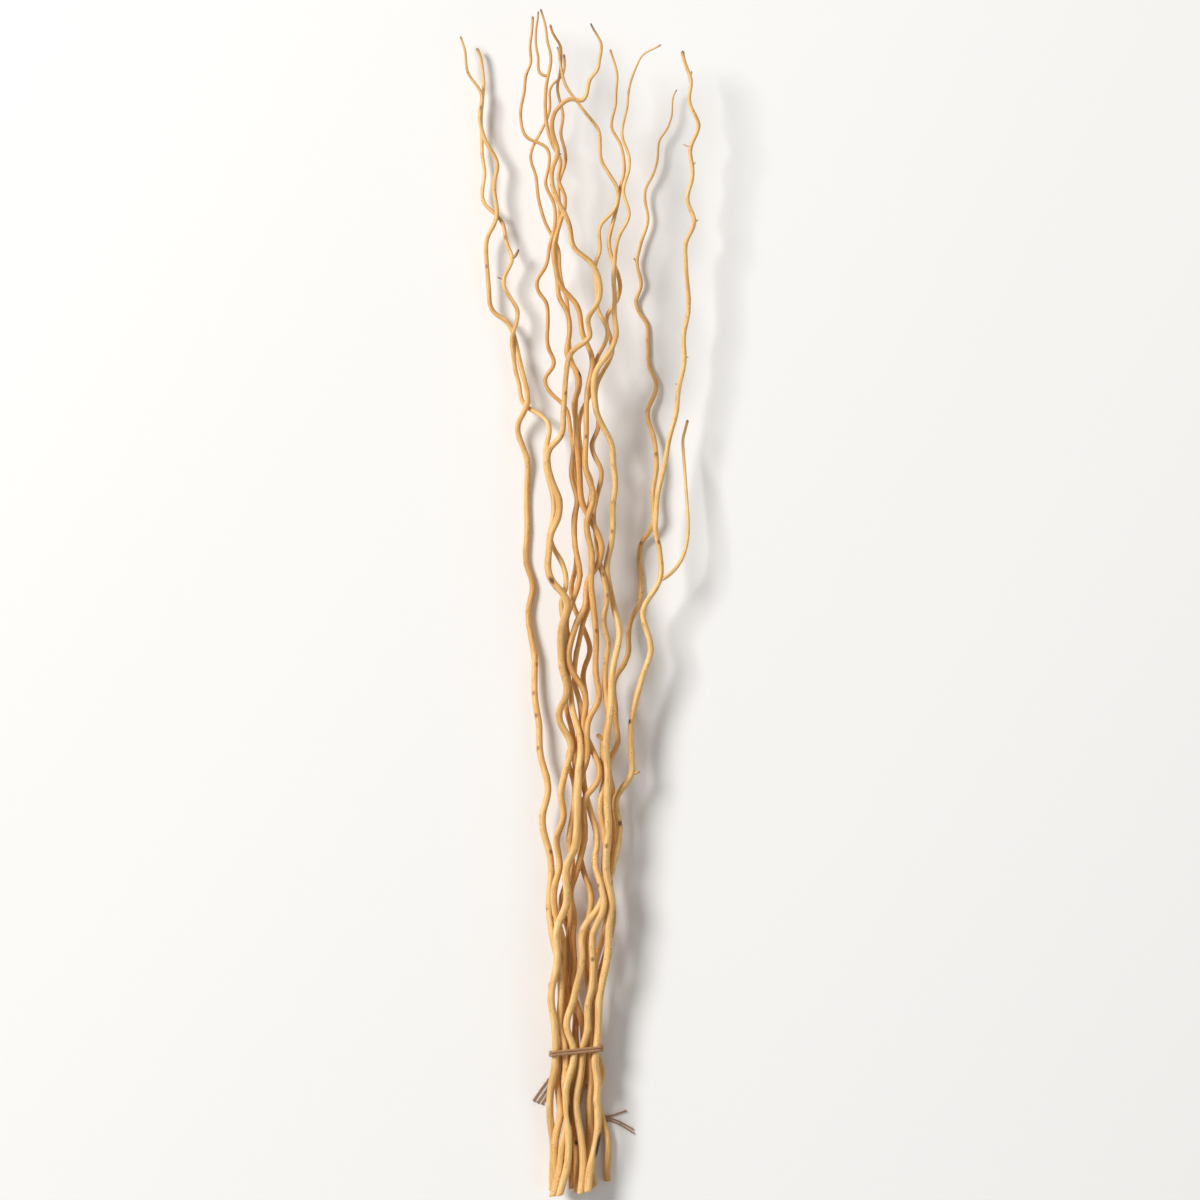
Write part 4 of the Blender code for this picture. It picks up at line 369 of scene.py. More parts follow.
# Loose ends of the twine, from the knot beneath the bundle to their frayed ends (x, y, height).
TAILS = {
    "twine_tail_left_1": [(572.2, 1052.7, 7.4), (565, 1059.5, 5.0), (558, 1066, 2.5), (552, 1074, 1.2),
                          (547, 1081, 1.0), (541, 1089, 1.0), (533.5, 1100, 1.0)],
    "twine_tail_left_2": [(573.8, 1054.2, 7.4), (566, 1063, 4.5), (559, 1071, 2.0), (553, 1079.5, 1.2),
                          (548.5, 1086, 1.0), (543.5, 1093.5, 1.0), (537.5, 1102, 1.0)],
    "twine_tail_left_3": [(575.7, 1055.3, 7.4), (568.5, 1066, 4.5), (561, 1075, 2.0), (555, 1083.5, 1.2),
                          (551, 1088.8, 1.0), (546.5, 1096, 1.0), (541.8, 1103.5, 1.0)],
    "twine_tail_right_1": [(582.0, 1053.7, 7.4), (587, 1066, 4.5), (591.5, 1079, 2.0), (595.5, 1093, 1.2),
                           (599.5, 1107, 1.0), (604, 1115.5, 1.0), (612, 1115.7, 1.0), (625.5, 1110.8, 1.0)],
    "twine_tail_right_2": [(580.0, 1054.8, 7.4), (584.5, 1068, 4.5), (589, 1082, 2.0), (593, 1097, 1.2),
                           (596.7, 1110, 1.0), (602.6, 1118.1, 1.0), (612.5, 1118.8, 1.0), (624, 1124, 1.0),
                           (632, 1128.7, 1.0)],
    "twine_tail_right_3": [(577.9, 1055.2, 7.4), (581.8, 1070, 4.5), (586.2, 1085, 2.0), (590, 1100, 1.2),
                           (594, 1113, 1.0), (601.2, 1120.4, 1.0), (611.5, 1121.2, 1.0), (622.3, 1126, 1.0),
                           (632.9, 1132.6, 1.0)],
}

# Small twigs and snags that only the look has: parent, route (x, y, height over its root) and radii.
TWIGS = [
    ("branch_02", [(503.5, 281, 0), (500, 279, 0.5), (497, 277, 1)], 0.8, 0.4),
    ("branch_07", [(690.7, 150, 0), (686.5, 148, 0.5), (682.5, 146, 1)], 0.8, 0.35),
    ("branch_07", [(692, 168, 0), (694, 165.5, 0.5), (695.5, 163.5, 1)], 0.8, 0.4),
    ("branch_07", [(694, 223, 0), (696.5, 222, 0.5), (698.5, 221, 0.5)], 0.9, 0.5),
    ("branch_07", [(683.5, 358, 0), (686, 358, 0.3), (688.5, 358, 0.5)], 0.8, 0.5),
    ("branch_07", [(678.5, 386, 0), (676.5, 385, 0.5), (674.5, 384.5, 1)], 0.8, 0.4),
    ("branch_03", [(557.5, 157, 0), (560, 157.2, 0.5), (562, 157.5, 1)], 1.4, 0.7),
    ("branch_12", [(637, 262, 0), (635, 260, 0.6), (633.5, 258, 1)], 1.3, 0.6),
    ("branch_11", [(606, 658, 0), (604.5, 658, 1.5), (603.5, 658, 2.4)], 1.6, 0.8),
]

# Dark marks that are seen on the stems of each branch: place, half length and darkness.
MARKS = {
    "branch_01": [(551, 852, 1.5, 0.8), (547, 908, 1.3, 0.7), (537.5, 664, 1.5, 0.8),
                  (533.5, 693, 1.5, 0.7), (536, 715, 1.6, 0.8), (538, 748, 1.4, 0.8),
                  (486.5, 267, 1.4, 0.8), (481, 108, 1.4, 0.8), (565, 1161, 1.6, 0.8)],
    "branch_02": [(505, 238, 1.5, 0.8)],
    "branch_03": [(552, 581, 3.0, 0.9), (566, 395, 1.3, 0.8)],
    "branch_05": [(576, 1141, 1.8, 1.0), (568.5, 944, 1.6, 0.8), (566.5, 834, 1.5, 0.8)],
    "branch_06": [(580.5, 375, 2.0, 0.9)],
    "branch_07": [(570.4, 1113, 9.0, 1.0), (620, 823, 2.2, 0.9), (658.5, 542, 1.5, 0.8),
                  (629.5, 721, 1.8, 1.0)],
    "branch_08": [(592.5, 958, 1.6, 0.8), (598, 884, 1.4, 0.8)],
    "branch_09": [(598.6, 1143, 10.0, 1.0), (612, 532, 1.4, 0.7), (606.5, 845, 1.6, 0.8)],
    "branch_10": [(586, 437, 1.6, 0.8), (596.5, 631, 1.5, 0.8)],
    "branch_11": [(603.5, 575, 1.5, 0.8), (607.5, 595, 1.4, 0.7)],
    "branch_12": [(641, 542, 1.5, 0.8), (656, 454, 1.5, 0.8)],
}
MARK_REACH = 3.2          # a mark this far from the centre line would sit on the stem's side
MARK_SIDE = 0.95          # and none sits further round than this share of it
MARK_WIDTH = 0.38         # half angle of a mark, and what its length adds to that
MARK_WIDEN = 0.035
MARK_DENT = -0.03
MARK_EDGE = 3.4           # how firm the edge of a mark is
PLAN_BLUR = 7             # samples that the visible centre lines are averaged over
FINE_BLUR = 3
BEND_BLUR = 5
TURN_SPREAD = 1.45        # each turn of the twine lies this far to its side of the middle
TURN_POINTS = 220

RING_STEP = 1.5           # spacing of the rings of the visible stems
GUIDE = (0.13, 0.97, 0.21)   # a direction that no strand runs along
STRAND_UNEVEN = 0.05
PLIES = 2                 # strands twisted together in the twine
PLY_OFFSET = 0.52
PLY_RADIUS = 0.58
TWINE_PITCH = 5.2         # length of one turn of the twist
TAIL_PITCH = 4.6
TWINE_PRESS = 0.05        # the visible twine lies this close to the stems
KNOB_LENGTH = 1.1
KNOB_WIDTH = 1.35
KNOB_LIFT = 0.4
KNOT_REACH = (4.4, 3.2, 1.4)
KNOT_TILTS = (0.5, -0.6)
KNOT_POINTS = 60
# Fibres: how many, and how long in millimetres.
LOOP_FUZZ = (60, 4.0)
TAIL_FUZZ = (26, 3.0)
END_FUZZ = (30, 4.5)
FIBRE_RADII = (0.09, 0.03)
FIBRE_POINTS = 5
FIBRE_BEND = 0.35
FIBRE_LOWEST = 0.2
SIDES = 16
FORK_SIDES = 10
TWIG_SIDES = 8
STRAND_SIDES = 8
FIBRE_SIDES = 3
BUD_SPACING = 13.0
BUD_START = 14.0          # no buds this near to the cut end, or to the tip
BUD_END = 5.0
BEND_LEAST = 0.012        # the least bend that bears a bud
BUD_ANGLE = (0.2, 1.6)
BUD_LENGTH = (1.6, 2.8)
BUD_WIDTH = 0.6
BUD_SWELL = (0.04, 0.14)
BUD_TINT = 0.06
BUD_COLLAR = 0.28         # share of a bud's swelling that runs all round the stem
BUD_DARK_SHARE = 0.55     # share of the buds with a dark eye
EYE_OFFSET = 0.8
EYE_TURN = 0.9
EYE_LENGTH = (0.5, 0.9)
EYE_WIDTH = 0.3
EYE_DARK = (0.2, 0.6)
FLOOR_LIFT = 0.0
FLECK_SPACING = 38.0
FLECK_ANGLE = (-1.4, 1.4)
FLECK_LENGTH = (0.6, 2.6)
FLECK_WIDTH = 0.2
FLECK_DARK = (0.1, 0.45)
SPOT_REACH = 4            # a spot is worked out to this many half lengths
SPOT_LEAST = 2.0
WAVE_RATE = (0.05, 0.16)  # the stems are a little uneven and a little oval
WAVE_DEPTH = 0.014
OVAL_DEPTH = 0.03
OVAL_TURN = 0.012
WHOLE_TURN = 6.3
TIP_ROUND = 1.6           # length over which a tip is rounded off
TIP_LEAST = 0.02
CUT_NARROW = 0.92         # a cut end's width, and how it widens along the stem
CUT_WIDEN = 8.0
TIP_DARK_PLAIN = 3.0
TIP_DARKNESS = 0.85
CUT_SLANT_PLAIN = 0.3
SLANT_RUN = (4.0, 8.0)    # length over which a slant fades, and what the slant adds to that
# Rings of a cut face: share of the width, depth and darkness.
CUT_RINGS = ((0.93, 0.25, 0.05), (0.55, 0.2, 0.0), (0.16, 0.1, 0.5))
GRAIN_SPREAD = 400        # each branch's grain starts somewhere else
STRAND_GRAIN = 90
# Length of the dark bark left at a tip, and slant of a cut end, where they differ from the rest.
TIP_DARK = {"branch_03": 13.0, "branch_10": 6.0, "branch_07": 5.0, "branch_06": 5.0, "branch_05": 6.0,
            "branch_02_fork": 18.0}
CUT_SLANT = {"branch_07": 0.48, "branch_01": 0.5, "branch_03": 0.2, "branch_02": 0.2, "branch_09": 0.22,
             "branch_08": 0.25, "branch_12": 0.0, "branch_11": 0.45}
# Painted shade: how much browner than the palest stems the others are, the more the lower they lie in the
# bundle.
PAINTED_DEPTH_SHADE = {"branch_01": 0.25, "branch_03": 0.3, "branch_11": 0.35, "branch_12": 0.35, "branch_04": 0.75,
         "branch_05": 0.6, "branch_06": 0.7, "branch_10": 0.65, "branch_08": 0.2}
PIT_SCALE = 0.32          # pits to a millimetre, before they are thinned to clusters
PIT_CLUSTERS = 0.045
GRAIN_STRETCH = 0.07      # the grain is drawn out along the stems
SEED = 7

WOOD_LIGHT = (0.93, 0.68, 0.33)
WOOD_MID = (0.85, 0.55, 0.215)
WOOD_SHADE = (0.71, 0.40, 0.125)
WOOD_DEEP = (0.48, 0.235, 0.065)
# Brown multiplied into the lower stems as painted shade.
WOOD_PAINTED_SHADE = (0.78, 0.61, 0.42)
WOOD_CUT = (0.88, 0.66, 0.36)
WOOD_BARK = (0.045, 0.022, 0.012)
WOOD_STAIN = (0.30, 0.11, 0.03)
TWINE_LIGHT = (0.62, 0.38, 0.21)
TWINE_MID = (0.43, 0.23, 0.115)
TWINE_DARK = (0.20, 0.09, 0.04)

VIEW_CENTRE = (600.0, 600.0)
VIEW_WIDTH = 1.2
CAMERA_HEIGHT = 12.0
SENSOR = 36.0
CLIP_END = 60.0
FLOOR_HALF = 20.0
FLOOR_LEVEL = -0.0005
LIGHTS = [
    ("key", (-6.6, 4.2, 7.2), 4.0, 1180.0),
    ("fill", (6.0, -3.0, 7.0), 6.0, 90.0),
]
SKY = 0.34


def smooth_line(points, step):
    """A Catmull-Rom curve through the points, sampled at even steps."""
    knots = np.asarray(points, float)
    padded = np.vstack([2 * knots[0] - knots[1], knots, 2 * knots[-1] - knots[-2]])
    dense = []
    for index in range(1, len(padded) - 2):
        before, start, end, after = padded[index - 1:index + 3]
        for t in np.linspace(0.0, 1.0, CURVE_STEPS, endpoint=False):
            dense.append(0.5 * (2 * start + (end - before) * t
                                + (2 * before - 5 * start + 4 * end - after) * t ** 2
                                + (3 * start - before - 3 * end + after) * t ** 3))
    dense.append(padded[-2])
    dense = np.array(dense)
    run = np.concatenate([[0.0], np.cumsum(np.linalg.norm(np.diff(dense, axis=0), axis=1))])
    even = np.linspace(0.0, run[-1], max(2, int(round(run[-1] / step))) + 1)
    return np.column_stack([np.interp(even, run, dense[:, axis]) for axis in range(dense.shape[1])])


def by_y(table, y):
    """Value of a (y, value) table at each y of a line."""
    knots = sorted(table)
    return np.interp(y, [knot[0] for knot in knots], [knot[1] for knot in knots])


def blurred(values, width):
    """A line's values, averaged over a few neighbours."""
    kernel = np.hanning(width + 2)[1:-1]
    padded = np.concatenate([np.full(width // 2, values[0]), values, np.full(width // 2, values[-1])])
    return np.convolve(padded, kernel / kernel.sum(), mode="valid")


def planned_lines():
    """Centre lines as drawn, with their radii, before they are laid clear of each other."""
    lines = {}
    for name, route in ROUTES.items():
        flat = smooth_line(route, SAMPLE_STEP)
        height = blurred(by_y(HEIGHTS[name], flat[:, 1]), HEIGHT_BLUR)
        radius = by_y(RADII[name], flat[:, 1])
        lines[name] = (np.column_stack([flat, height]), radius)
    return lines


def thinned(line, tolerance):
    """Indices of the few samples that keep a line within the tolerance."""
    keep = {0, len(line) - 1}
    spans = [(0, len(line) - 1)]
    while spans:
        start, end = spans.pop()
        if end - start < 2:
            continue
        along = line[end] - line[start]
        along = along / max(np.linalg.norm(along), 1e-9)
        offset = line[start + 1:end] - line[start]
        away = np.linalg.norm(offset - np.outer(offset @ along, along), axis=1)
        worst = int(np.argmax(away))
        if away[worst] > tolerance:
            keep.add(start + 1 + worst)
            spans += [(start, start + 1 + worst), (start + 1 + worst, end)]
    return sorted(keep)


def rings_of(lines):
    """The few rings that each branch is built on: their places and radii."""
    rings = {}
    for name, (line, radius) in lines.items():
        keep = thinned(line, FIT_TOLERANCE)
        rings[name] = (line[keep], radius[keep])
    return rings


def samples_of(places, radius):
    """Even samples between the rings: the ring before each, the share of the next, and the rest."""
    before = []
    share = []
    for index in range(len(places) - 1):
        count = max(1, int(math.ceil(np.linalg.norm(places[index + 1] - places[index]) / SAMPLE_STEP)))
        for part in range(count):
            before.append(index)
            share.append(part / count)
    before.append(len(places) - 2)
    share.append(1.0)
    before = np.array(before)
    share = np.array(share)
    at = places[before] * (1 - share[:, None]) + places[before + 1] * share[:, None]
    thick = radius[before] * (1 - share) + radius[before + 1] * share
    return before, share, at, thick


def touching_pairs(samples):
    """Samples of two branches that cannot lie at one height, with the room they need and their order."""
    names = list(samples)
    pairs = []
    for first in range(len(names)):
        for second in range(first + 1, len(names)):
            a = samples[names[first]]
            b = samples[names[second]]
            apart = np.hypot(a[2][:, None, 0] - b[2][None, :, 0], a[2][:, None, 1] - b[2][None, :, 1])
            need = a[3][:, None] + b[3][None, :] + GAP
            i, j = np.nonzero(apart < need)
            if len(i) == 0:
                continue
            room = np.sqrt(need[i, j] ** 2 - apart[i, j] ** 2)
            over = a[2][i, 2] - b[2][j, 2]
            order = np.ones(len(i))
            starts = np.concatenate([[0], np.nonzero(np.diff(i) > 2)[0] + 1, [len(i)]])
            for start, end in zip(starts[:-1], starts[1:]):
                order[start:end] = 1.0 if over[start:end].sum() >= 0.0 else -1.0
            pairs.append((names[first], names[second], i, j, room, order))
    return pairs


def spread(size, before, share, index, amount):
    """The largest wish of the samples, handed to the rings on either side of them."""
    wish = np.zeros(size)
    np.maximum.at(wish, before[index], np.where(share[index] < 1 - SHARE_EDGE, amount, 0.0))
    np.maximum.at(wish, before[index] + 1, np.where(share[index] > SHARE_EDGE, amount, 0.0))
    return wish


def laid_clear(rings):
    """Lift or lower the branches until no two of them touch, keeping which one lies over which."""
    height = {name: places[:, 2].copy() for name, (places, radius) in rings.items()}
    samples = {name: samples_of(places, radius) for name, (places, radius) in rings.items()}
    pairs = touching_pairs(samples)
    for turn in range(CLEARING_TURNS):
        rise = {name: np.zeros_like(values) for name, values in height.items()}
        sink = {name: np.zeros_like(values) for name, values in height.items()}
        level = {}
        for name, (before, share, at, thick) in samples.items():
            values = height[name]
            level[name] = values[before] * (1 - share) + values[before + 1] * share
        for a, b, i, j, room, order in pairs:
            short = 0.5 * np.maximum(room - (level[a][i] - level[b][j]) * order, 0.0)
            over = order > 0
            for name, index, lifts in ((a, i, over), (b, j, ~over)):
                before, share = samples[name][:2]
                size = len(height[name])
                up = spread(size, before, share, index[lifts], short[lifts])
                down = spread(size, before, share, index[~lifts], short[~lifts])
                np.maximum(rise[name], up, out=rise[name])
                np.maximum(sink[name], down, out=sink[name])
        for name, values in height.items():
            step = rise[name] - sink[name]
            if turn < SMOOTH_TURNS:
                step = blurred(step, 3)
            values += np.clip(step, -CLEARING_STEP, CLEARING_STEP)
            np.maximum(values, rings[name][1] - REST_SINK, out=values)
    return {name: (np.column_stack([places[:, :2], height[name]]), radius)
            for name, (places, radius) in rings.items()}


def eased_apart(rings):
    """Push the last touching places of two branches apart, sideways as well as up and down."""
    places = {name: line.copy() for name, (line, radius) in rings.items()}
    names = list(places)
    start = {name: samples_of(*rings[name]) for name in names}
    nearby = []
    for first in range(len(names)):
        for second in range(first + 1, len(names)):
            a = start[names[first]]
            b = start[names[second]]
            apart = np.linalg.norm(a[2][:, None] - b[2][None, :], axis=2)
            i, j = np.nonzero(apart < EASE_REACH)
            if len(i):
                nearby.append((names[first], names[second], i, j, a[3][i] + b[3][j] + EASE_GAP))
    for turn in range(EASE_TURNS):
        total = {name: np.zeros_like(line) for name, line in places.items()}
        count = {name: np.zeros(len(line)) for name, line in places.items()}
        at = {}
        for name, (before, share, spot, thick) in start.items():
            line = places[name]
            at[name] = line[before] * (1 - share[:, None]) + line[before + 1] * share[:, None]
        for a, b, i, j, need in nearby:
            way = at[a][i] - at[b][j]
            apart = np.maximum(np.linalg.norm(way, axis=1), EASE_LEAST)
            short = need - apart
            hit = short > 0.0
            push = way[hit] / apart[hit, None] * (0.5 * short[hit])[:, None]
            for name, index, sign in ((a, i[hit], 1.0), (b, j[hit], -1.0)):
                before, share = start[name][:2]
                for ring, weight in ((before[index], 1 - share[index]), (before[index] + 1, share[index])):
                    np.add.at(total[name], ring, sign * push * weight[:, None])
                    np.add.at(count[name], ring, weight)
        for name, line in places.items():
            line += EASE_PUSH * total[name] / np.maximum(count[name], 0.5)[:, None]
            line[:, 2] = np.maximum(line[:, 2], rings[name][1] - REST_SINK)
    return {name: (places[name], rings[name][1]) for name in names}


def board_to_world(points):
    """Board millimetres to metres in the object's own frame."""
    points = np.asarray(points, float)
    return np.column_stack([(points[:, 0] - BOARD_CENTRE_X) * MM,
                            (BOARD_CENTRE_Y - points[:, 1]) * MM,
                            points[:, 2] * MM])


def fork_line(line, route, root_radius, tip_radius):
    """A fork's centre line, rooted on the branch's own centre line."""
    flat = smooth_line(route, SAMPLE_STEP)
    root = int(np.argmin(np.hypot(line[:, 0] - route[0][0], line[:, 1] - route[0][1])))
    flat[:, 2] += line[root, 2]
    flat[0] = line[root]
    radius = np.linspace(root_radius, tip_radius, len(flat))
    return flat, radius


def tie_outline(rings, band, clear):
    """The tight loop round all the stems where the twine crosses them, seen along the stems."""
    stems = []
    for places, radius in rings.values():
        before, share, at, thick = samples_of(places, radius)
        middle = TIE_Y + TIE_TILT * (at[:, 0] - TIE_CENTRE_X)
        for index in np.nonzero(np.abs(at[:, 1] - middle) < band)[0]:
            stems.append((at[index, 0], at[index, 2], thick[index]))
    loop = []
    for angle in np.linspace(0.0, 2 * math.pi, TWINE_STEPS, endpoint=False):
        way = (math.cos(angle), math.sin(angle))
        x, z, r = max(stems, key=lambda stem: stem[0] * way[0] + stem[1] * way[1] + stem[2])
        reach = r + clear
        loop.append((x + reach * way[0], z + reach * way[1]))
    return loop


def visible_lines(lines, rings):
    """The smooth centre lines, at the heights that the coarse rings were laid at."""
    fine = {}
    for name, (line, radius) in lines.items():
        keep = thinned(line, FIT_TOLERANCE)
        places = rings[name][0]
        index = np.arange(len(line))
        smooth = line.copy()
        for axis in (0, 1):
            shift = np.interp(index, keep, places[:, axis] - line[keep, axis])
            smooth[:, axis] = blurred(line[:, axis] + shift, PLAN_BLUR)
            smooth[[0, -1], axis] = (line[:, axis] + shift)[[0, -1]]
        smooth[:, 2] = blurred(np.interp(index, keep, places[:, 2]), PLAN_BLUR)
        fine[name] = (smooth, radius)
    return fine


def refined(line, radius, step):
    """The line and its radii at a finer, even spacing, with the run along it."""
    run = np.concatenate([[0.0], np.cumsum(np.linalg.norm(np.diff(line, axis=0), axis=1))])
    even = np.linspace(0.0, run[-1], int(round(run[-1] / step)) + 1)
    dense = np.column_stack([np.interp(even, run, line[:, axis]) for axis in range(3)])
    for axis in range(3):
        dense[1:-1, axis] = blurred(dense[:, axis], FINE_BLUR)[1:-1]
    return dense, np.interp(even, run, radius), even


def bends_of(line, run, spacing):
    """Where a branch bends most, at least the spacing apart: its buds sit there."""
    way = np.gradient(line[:, :2], axis=0)
    angle = np.unwrap(np.arctan2(way[:, 1], way[:, 0]))
    turning = np.gradient(blurred(angle, BEND_BLUR))
    found = []
    for index in np.argsort(-np.abs(turning)):
        if run[index] < BUD_START or run[index] > run[-1] - BUD_END:
            continue
        if all(abs(run[index] - run[other]) > spacing for other, side in found):
            found.append((index, -np.sign(turning[index])))
        if abs(turning[index]) < BEND_LEAST:
            break
    return found


def scar_list(name, line, run, rng):
    """Buds and marks of one branch: run, angle from the top, half length, half angle, swelling, darkness."""
    marks = []
    for index, side in bends_of(line, run, BUD_SPACING):
        angle = side * rng.uniform(*BUD_ANGLE)
        marks.append((run[index], angle, rng.uniform(*BUD_LENGTH), BUD_WIDTH, rng.uniform(*BUD_SWELL),
                      BUD_TINT))
        if rng.uniform() < BUD_DARK_SHARE:
            marks.append((run[index] + EYE_OFFSET, angle * EYE_TURN, rng.uniform(*EYE_LENGTH), EYE_WIDTH, 0.0,
                          rng.uniform(*EYE_DARK)))
    for count in range(int(run[-1] / FLECK_SPACING)):
        marks.append((rng.uniform(0, run[-1]), rng.uniform(*FLECK_ANGLE), rng.uniform(*FLECK_LENGTH),
                      FLECK_WIDTH, 0.0, rng.uniform(*FLECK_DARK)))
    for x, y, half_length, darkness in MARKS.get(name, []):
        index = int(np.argmin(np.hypot(line[:, 0] - x, line[:, 1] - y)))
        way = line[min(index + 2, len(line) - 1)] - line[max(index - 2, 0)]
        way = way[:2] / max(np.linalg.norm(way[:2]), 1e-6)
        aside = (x - line[index, 0]) * -way[1] + (y - line[index, 1]) * way[0]
        angle = math.asin(max(-MARK_SIDE, min(MARK_SIDE, aside / MARK_REACH)))
        half_angle = MARK_WIDTH + MARK_WIDEN * half_length
        marks.append((run[index], angle, half_length, half_angle, MARK_DENT, darkness))
    return marks


def branch_surface(name, line, radius, rng, sides=SIDES, swell=True, root=False):
    """Vertices, faces and vertex values of one round, slightly uneven stem."""
    line, radius, run = refined(line, radius, RING_STEP)
    way = np.gradient(line, axis=0)
    way /= np.maximum(np.linalg.norm(way, axis=1), 1e-9)[:, None]
    across = np.column_stack([-way[:, 1], way[:, 0], np.zeros(len(way))])
    across /= np.maximum(np.linalg.norm(across, axis=1), 1e-9)[:, None]
    top = np.cross(way, across)
    top *= np.sign(top[:, 2])[:, None]
    angle = np.linspace(-math.pi, math.pi, sides, endpoint=False)
    marks = scar_list(name, line, run, rng) if swell else []
    shape = np.ones((len(line), sides))
    dark = np.zeros((len(line), sides))
    for phase in range(3):
        wave = rng.uniform(*WAVE_RATE)
        shape += WAVE_DEPTH * np.sin(run[:, None] * wave + angle[None, :] * (phase + 1)
                                     + rng.uniform(0, WHOLE_TURN))
    shape += OVAL_DEPTH * np.cos(2 * angle[None, :] + run[:, None] * OVAL_TURN + rng.uniform(0, WHOLE_TURN))
    for at, turn, half_length, half_angle, swelling, darkness in marks:
        near = np.abs(run - at) < SPOT_REACH * max(half_length, SPOT_LEAST)
        along = ((run[near, None] - at) / half_length) ** 2
        round_by = np.angle(np.exp(1j * (angle[None, :] - turn)))
        around = (round_by / half_angle) ** 2
        spot = np.exp(-along - around)
        shape[near] += swelling * spot
        if swelling > 0:
            shape[near] += BUD_COLLAR * swelling * np.exp(-along / 4.0)
        dark[near] = np.maximum(dark[near], darkness * np.clip(MARK_EDGE * spot, 0.0, 1.0))
    end = run[-1] - run
    round_off = np.sqrt(np.clip(1.0 - np.clip(1.0 - end / TIP_ROUND, 0.0, 1.0) ** 2, TIP_LEAST, 1.0))
    reach = radius[:, None] * shape * round_off[:, None]
    if not root:
        reach *= np.clip(CUT_NARROW + run / CUT_WIDEN, CUT_NARROW, 1.0)[:, None]
    places = (line[:, None, :] + reach[:, :, None] * (np.cos(angle)[None, :, None] * top[:, None, :]
                                                      + np.sin(angle)[None, :, None] * across[:, None, :]))
    if not root:
        slant = CUT_SLANT.get(name, CUT_SLANT_PLAIN)
        fade = np.clip(1.0 - run / (SLANT_RUN[0] + SLANT_RUN[1] * abs(slant)), 0.0, 1.0)
        lean = np.sin(angle)[None, :] * (reach * slant * fade[:, None])
        places += lean[:, :, None] * way[:, None, :]
    places[:, :, 2] = np.maximum(places[:, :, 2], FLOOR_LIFT)
    tip = TIP_DARK.get(name + "_fork" if root else name, TIP_DARK_PLAIN)
    dark = np.maximum(dark, TIP_DARKNESS * np.exp(-(end / tip) ** 2)[:, None])
    grain = np.stack([np.repeat(run[:, None], sides, axis=1) * GRAIN_STRETCH,
                      np.cos(angle)[None, :] * radius[:, None] + 0 * shape,
                      np.sin(angle)[None, :] * radius[:, None] + 0 * shape], axis=2)
    grain += rng.uniform(0, GRAIN_SPREAD)
    rings = len(line)
    vertices = [places.reshape(-1, 3)]
    darks = [dark.ravel()]
    grains = [grain.reshape(-1, 3)]
    pales = [np.zeros(rings * sides)]
    ring, spoke = np.meshgrid(np.arange(rings - 1), np.arange(sides), indexing="ij")
    after = (spoke + 1) % sides
    faces = np.stack([ring * sides + spoke, ring * sides + after,
                      (ring + 1) * sides + after, (ring + 1) * sides + spoke], axis=2).reshape(-1, 4).tolist()
    total = rings * sides
    last = (rings - 1) * sides
    vertices.append(line[-1:] + way[-1:] * 0.2)
    darks.append([0.8])
    grains.append(grain[-1, :1])
    pales.append([0.0])
    for spoke in range(sides):
        faces.append((last + spoke, last + (spoke + 1) % sides, total))
    total += 1
    inner = None
    for share, depth, pith in CUT_RINGS:
        cut = line[0] + (places[0] - line[0]) * share - way[0] * depth
        vertices.append(cut)
        darks.append(np.full(sides, pith))
        grains.append(grain[0])
        pales.append(np.ones(sides))
        first = 0 if inner is None else inner
        for spoke in range(sides):
            after = (spoke + 1) % sides
            faces.append((first + after, first + spoke, total + spoke, total + after))
        inner = total
        total += sides
    faces.append(tuple(inner + spoke for spoke in reversed(range(sides))))
    return np.vstack(vertices), faces, np.concatenate(darks), np.vstack(grains), np.concatenate(pales)


def piece_from(name, surfaces, finish):
    """One mesh object from several surfaces, with their values as vertex attributes."""
    vertices = []
    faces = []
    start = 0
    for places, sides, dark, grain, pale in surfaces:
        vertices.append(places)
        faces += [tuple(index + start for index in face) for face in sides]
        start += len(places)
    mesh = bpy.data.meshes.new(name)
    mesh.from_pydata(board_to_world(np.vstack(vertices)).tolist(), [], faces)
    for label, column in (("dark", 2), ("pale", 4)):
        values = mesh.attributes.new(label, "FLOAT", "POINT")
        column_values = np.concatenate([item[column] for item in surfaces])
        values.data.foreach_set("value", column_values.astype(np.float32))
    values = mesh.attributes.new("grain", "FLOAT_VECTOR", "POINT")
    values.data.foreach_set("vector", np.vstack([item[3] for item in surfaces]).astype(np.float32).ravel())
    work = bmesh.new()
    work.from_mesh(mesh)
    bmesh.ops.recalc_face_normals(work, faces=work.faces)
    work.to_mesh(mesh)
    work.free()
    mesh.polygons.foreach_set("use_smooth", [True] * len(mesh.polygons))
    mesh.materials.append(finish)
    made = bpy.data.objects.new(name, mesh)
    bpy.context.scene.collection.objects.link(made)
    return made


def axes_of(line, closed):
    """Two directions across a strand at each of its points."""
    way = np.roll(line, -1, axis=0) - np.roll(line, 1, axis=0) if closed else np.gradient(line, axis=0)
    way /= np.maximum(np.linalg.norm(way, axis=1), 1e-9)[:, None]
    across = np.cross(way, GUIDE)
    across /= np.maximum(np.linalg.norm(across, axis=1), 1e-9)[:, None]
    return across, np.cross(across, way)


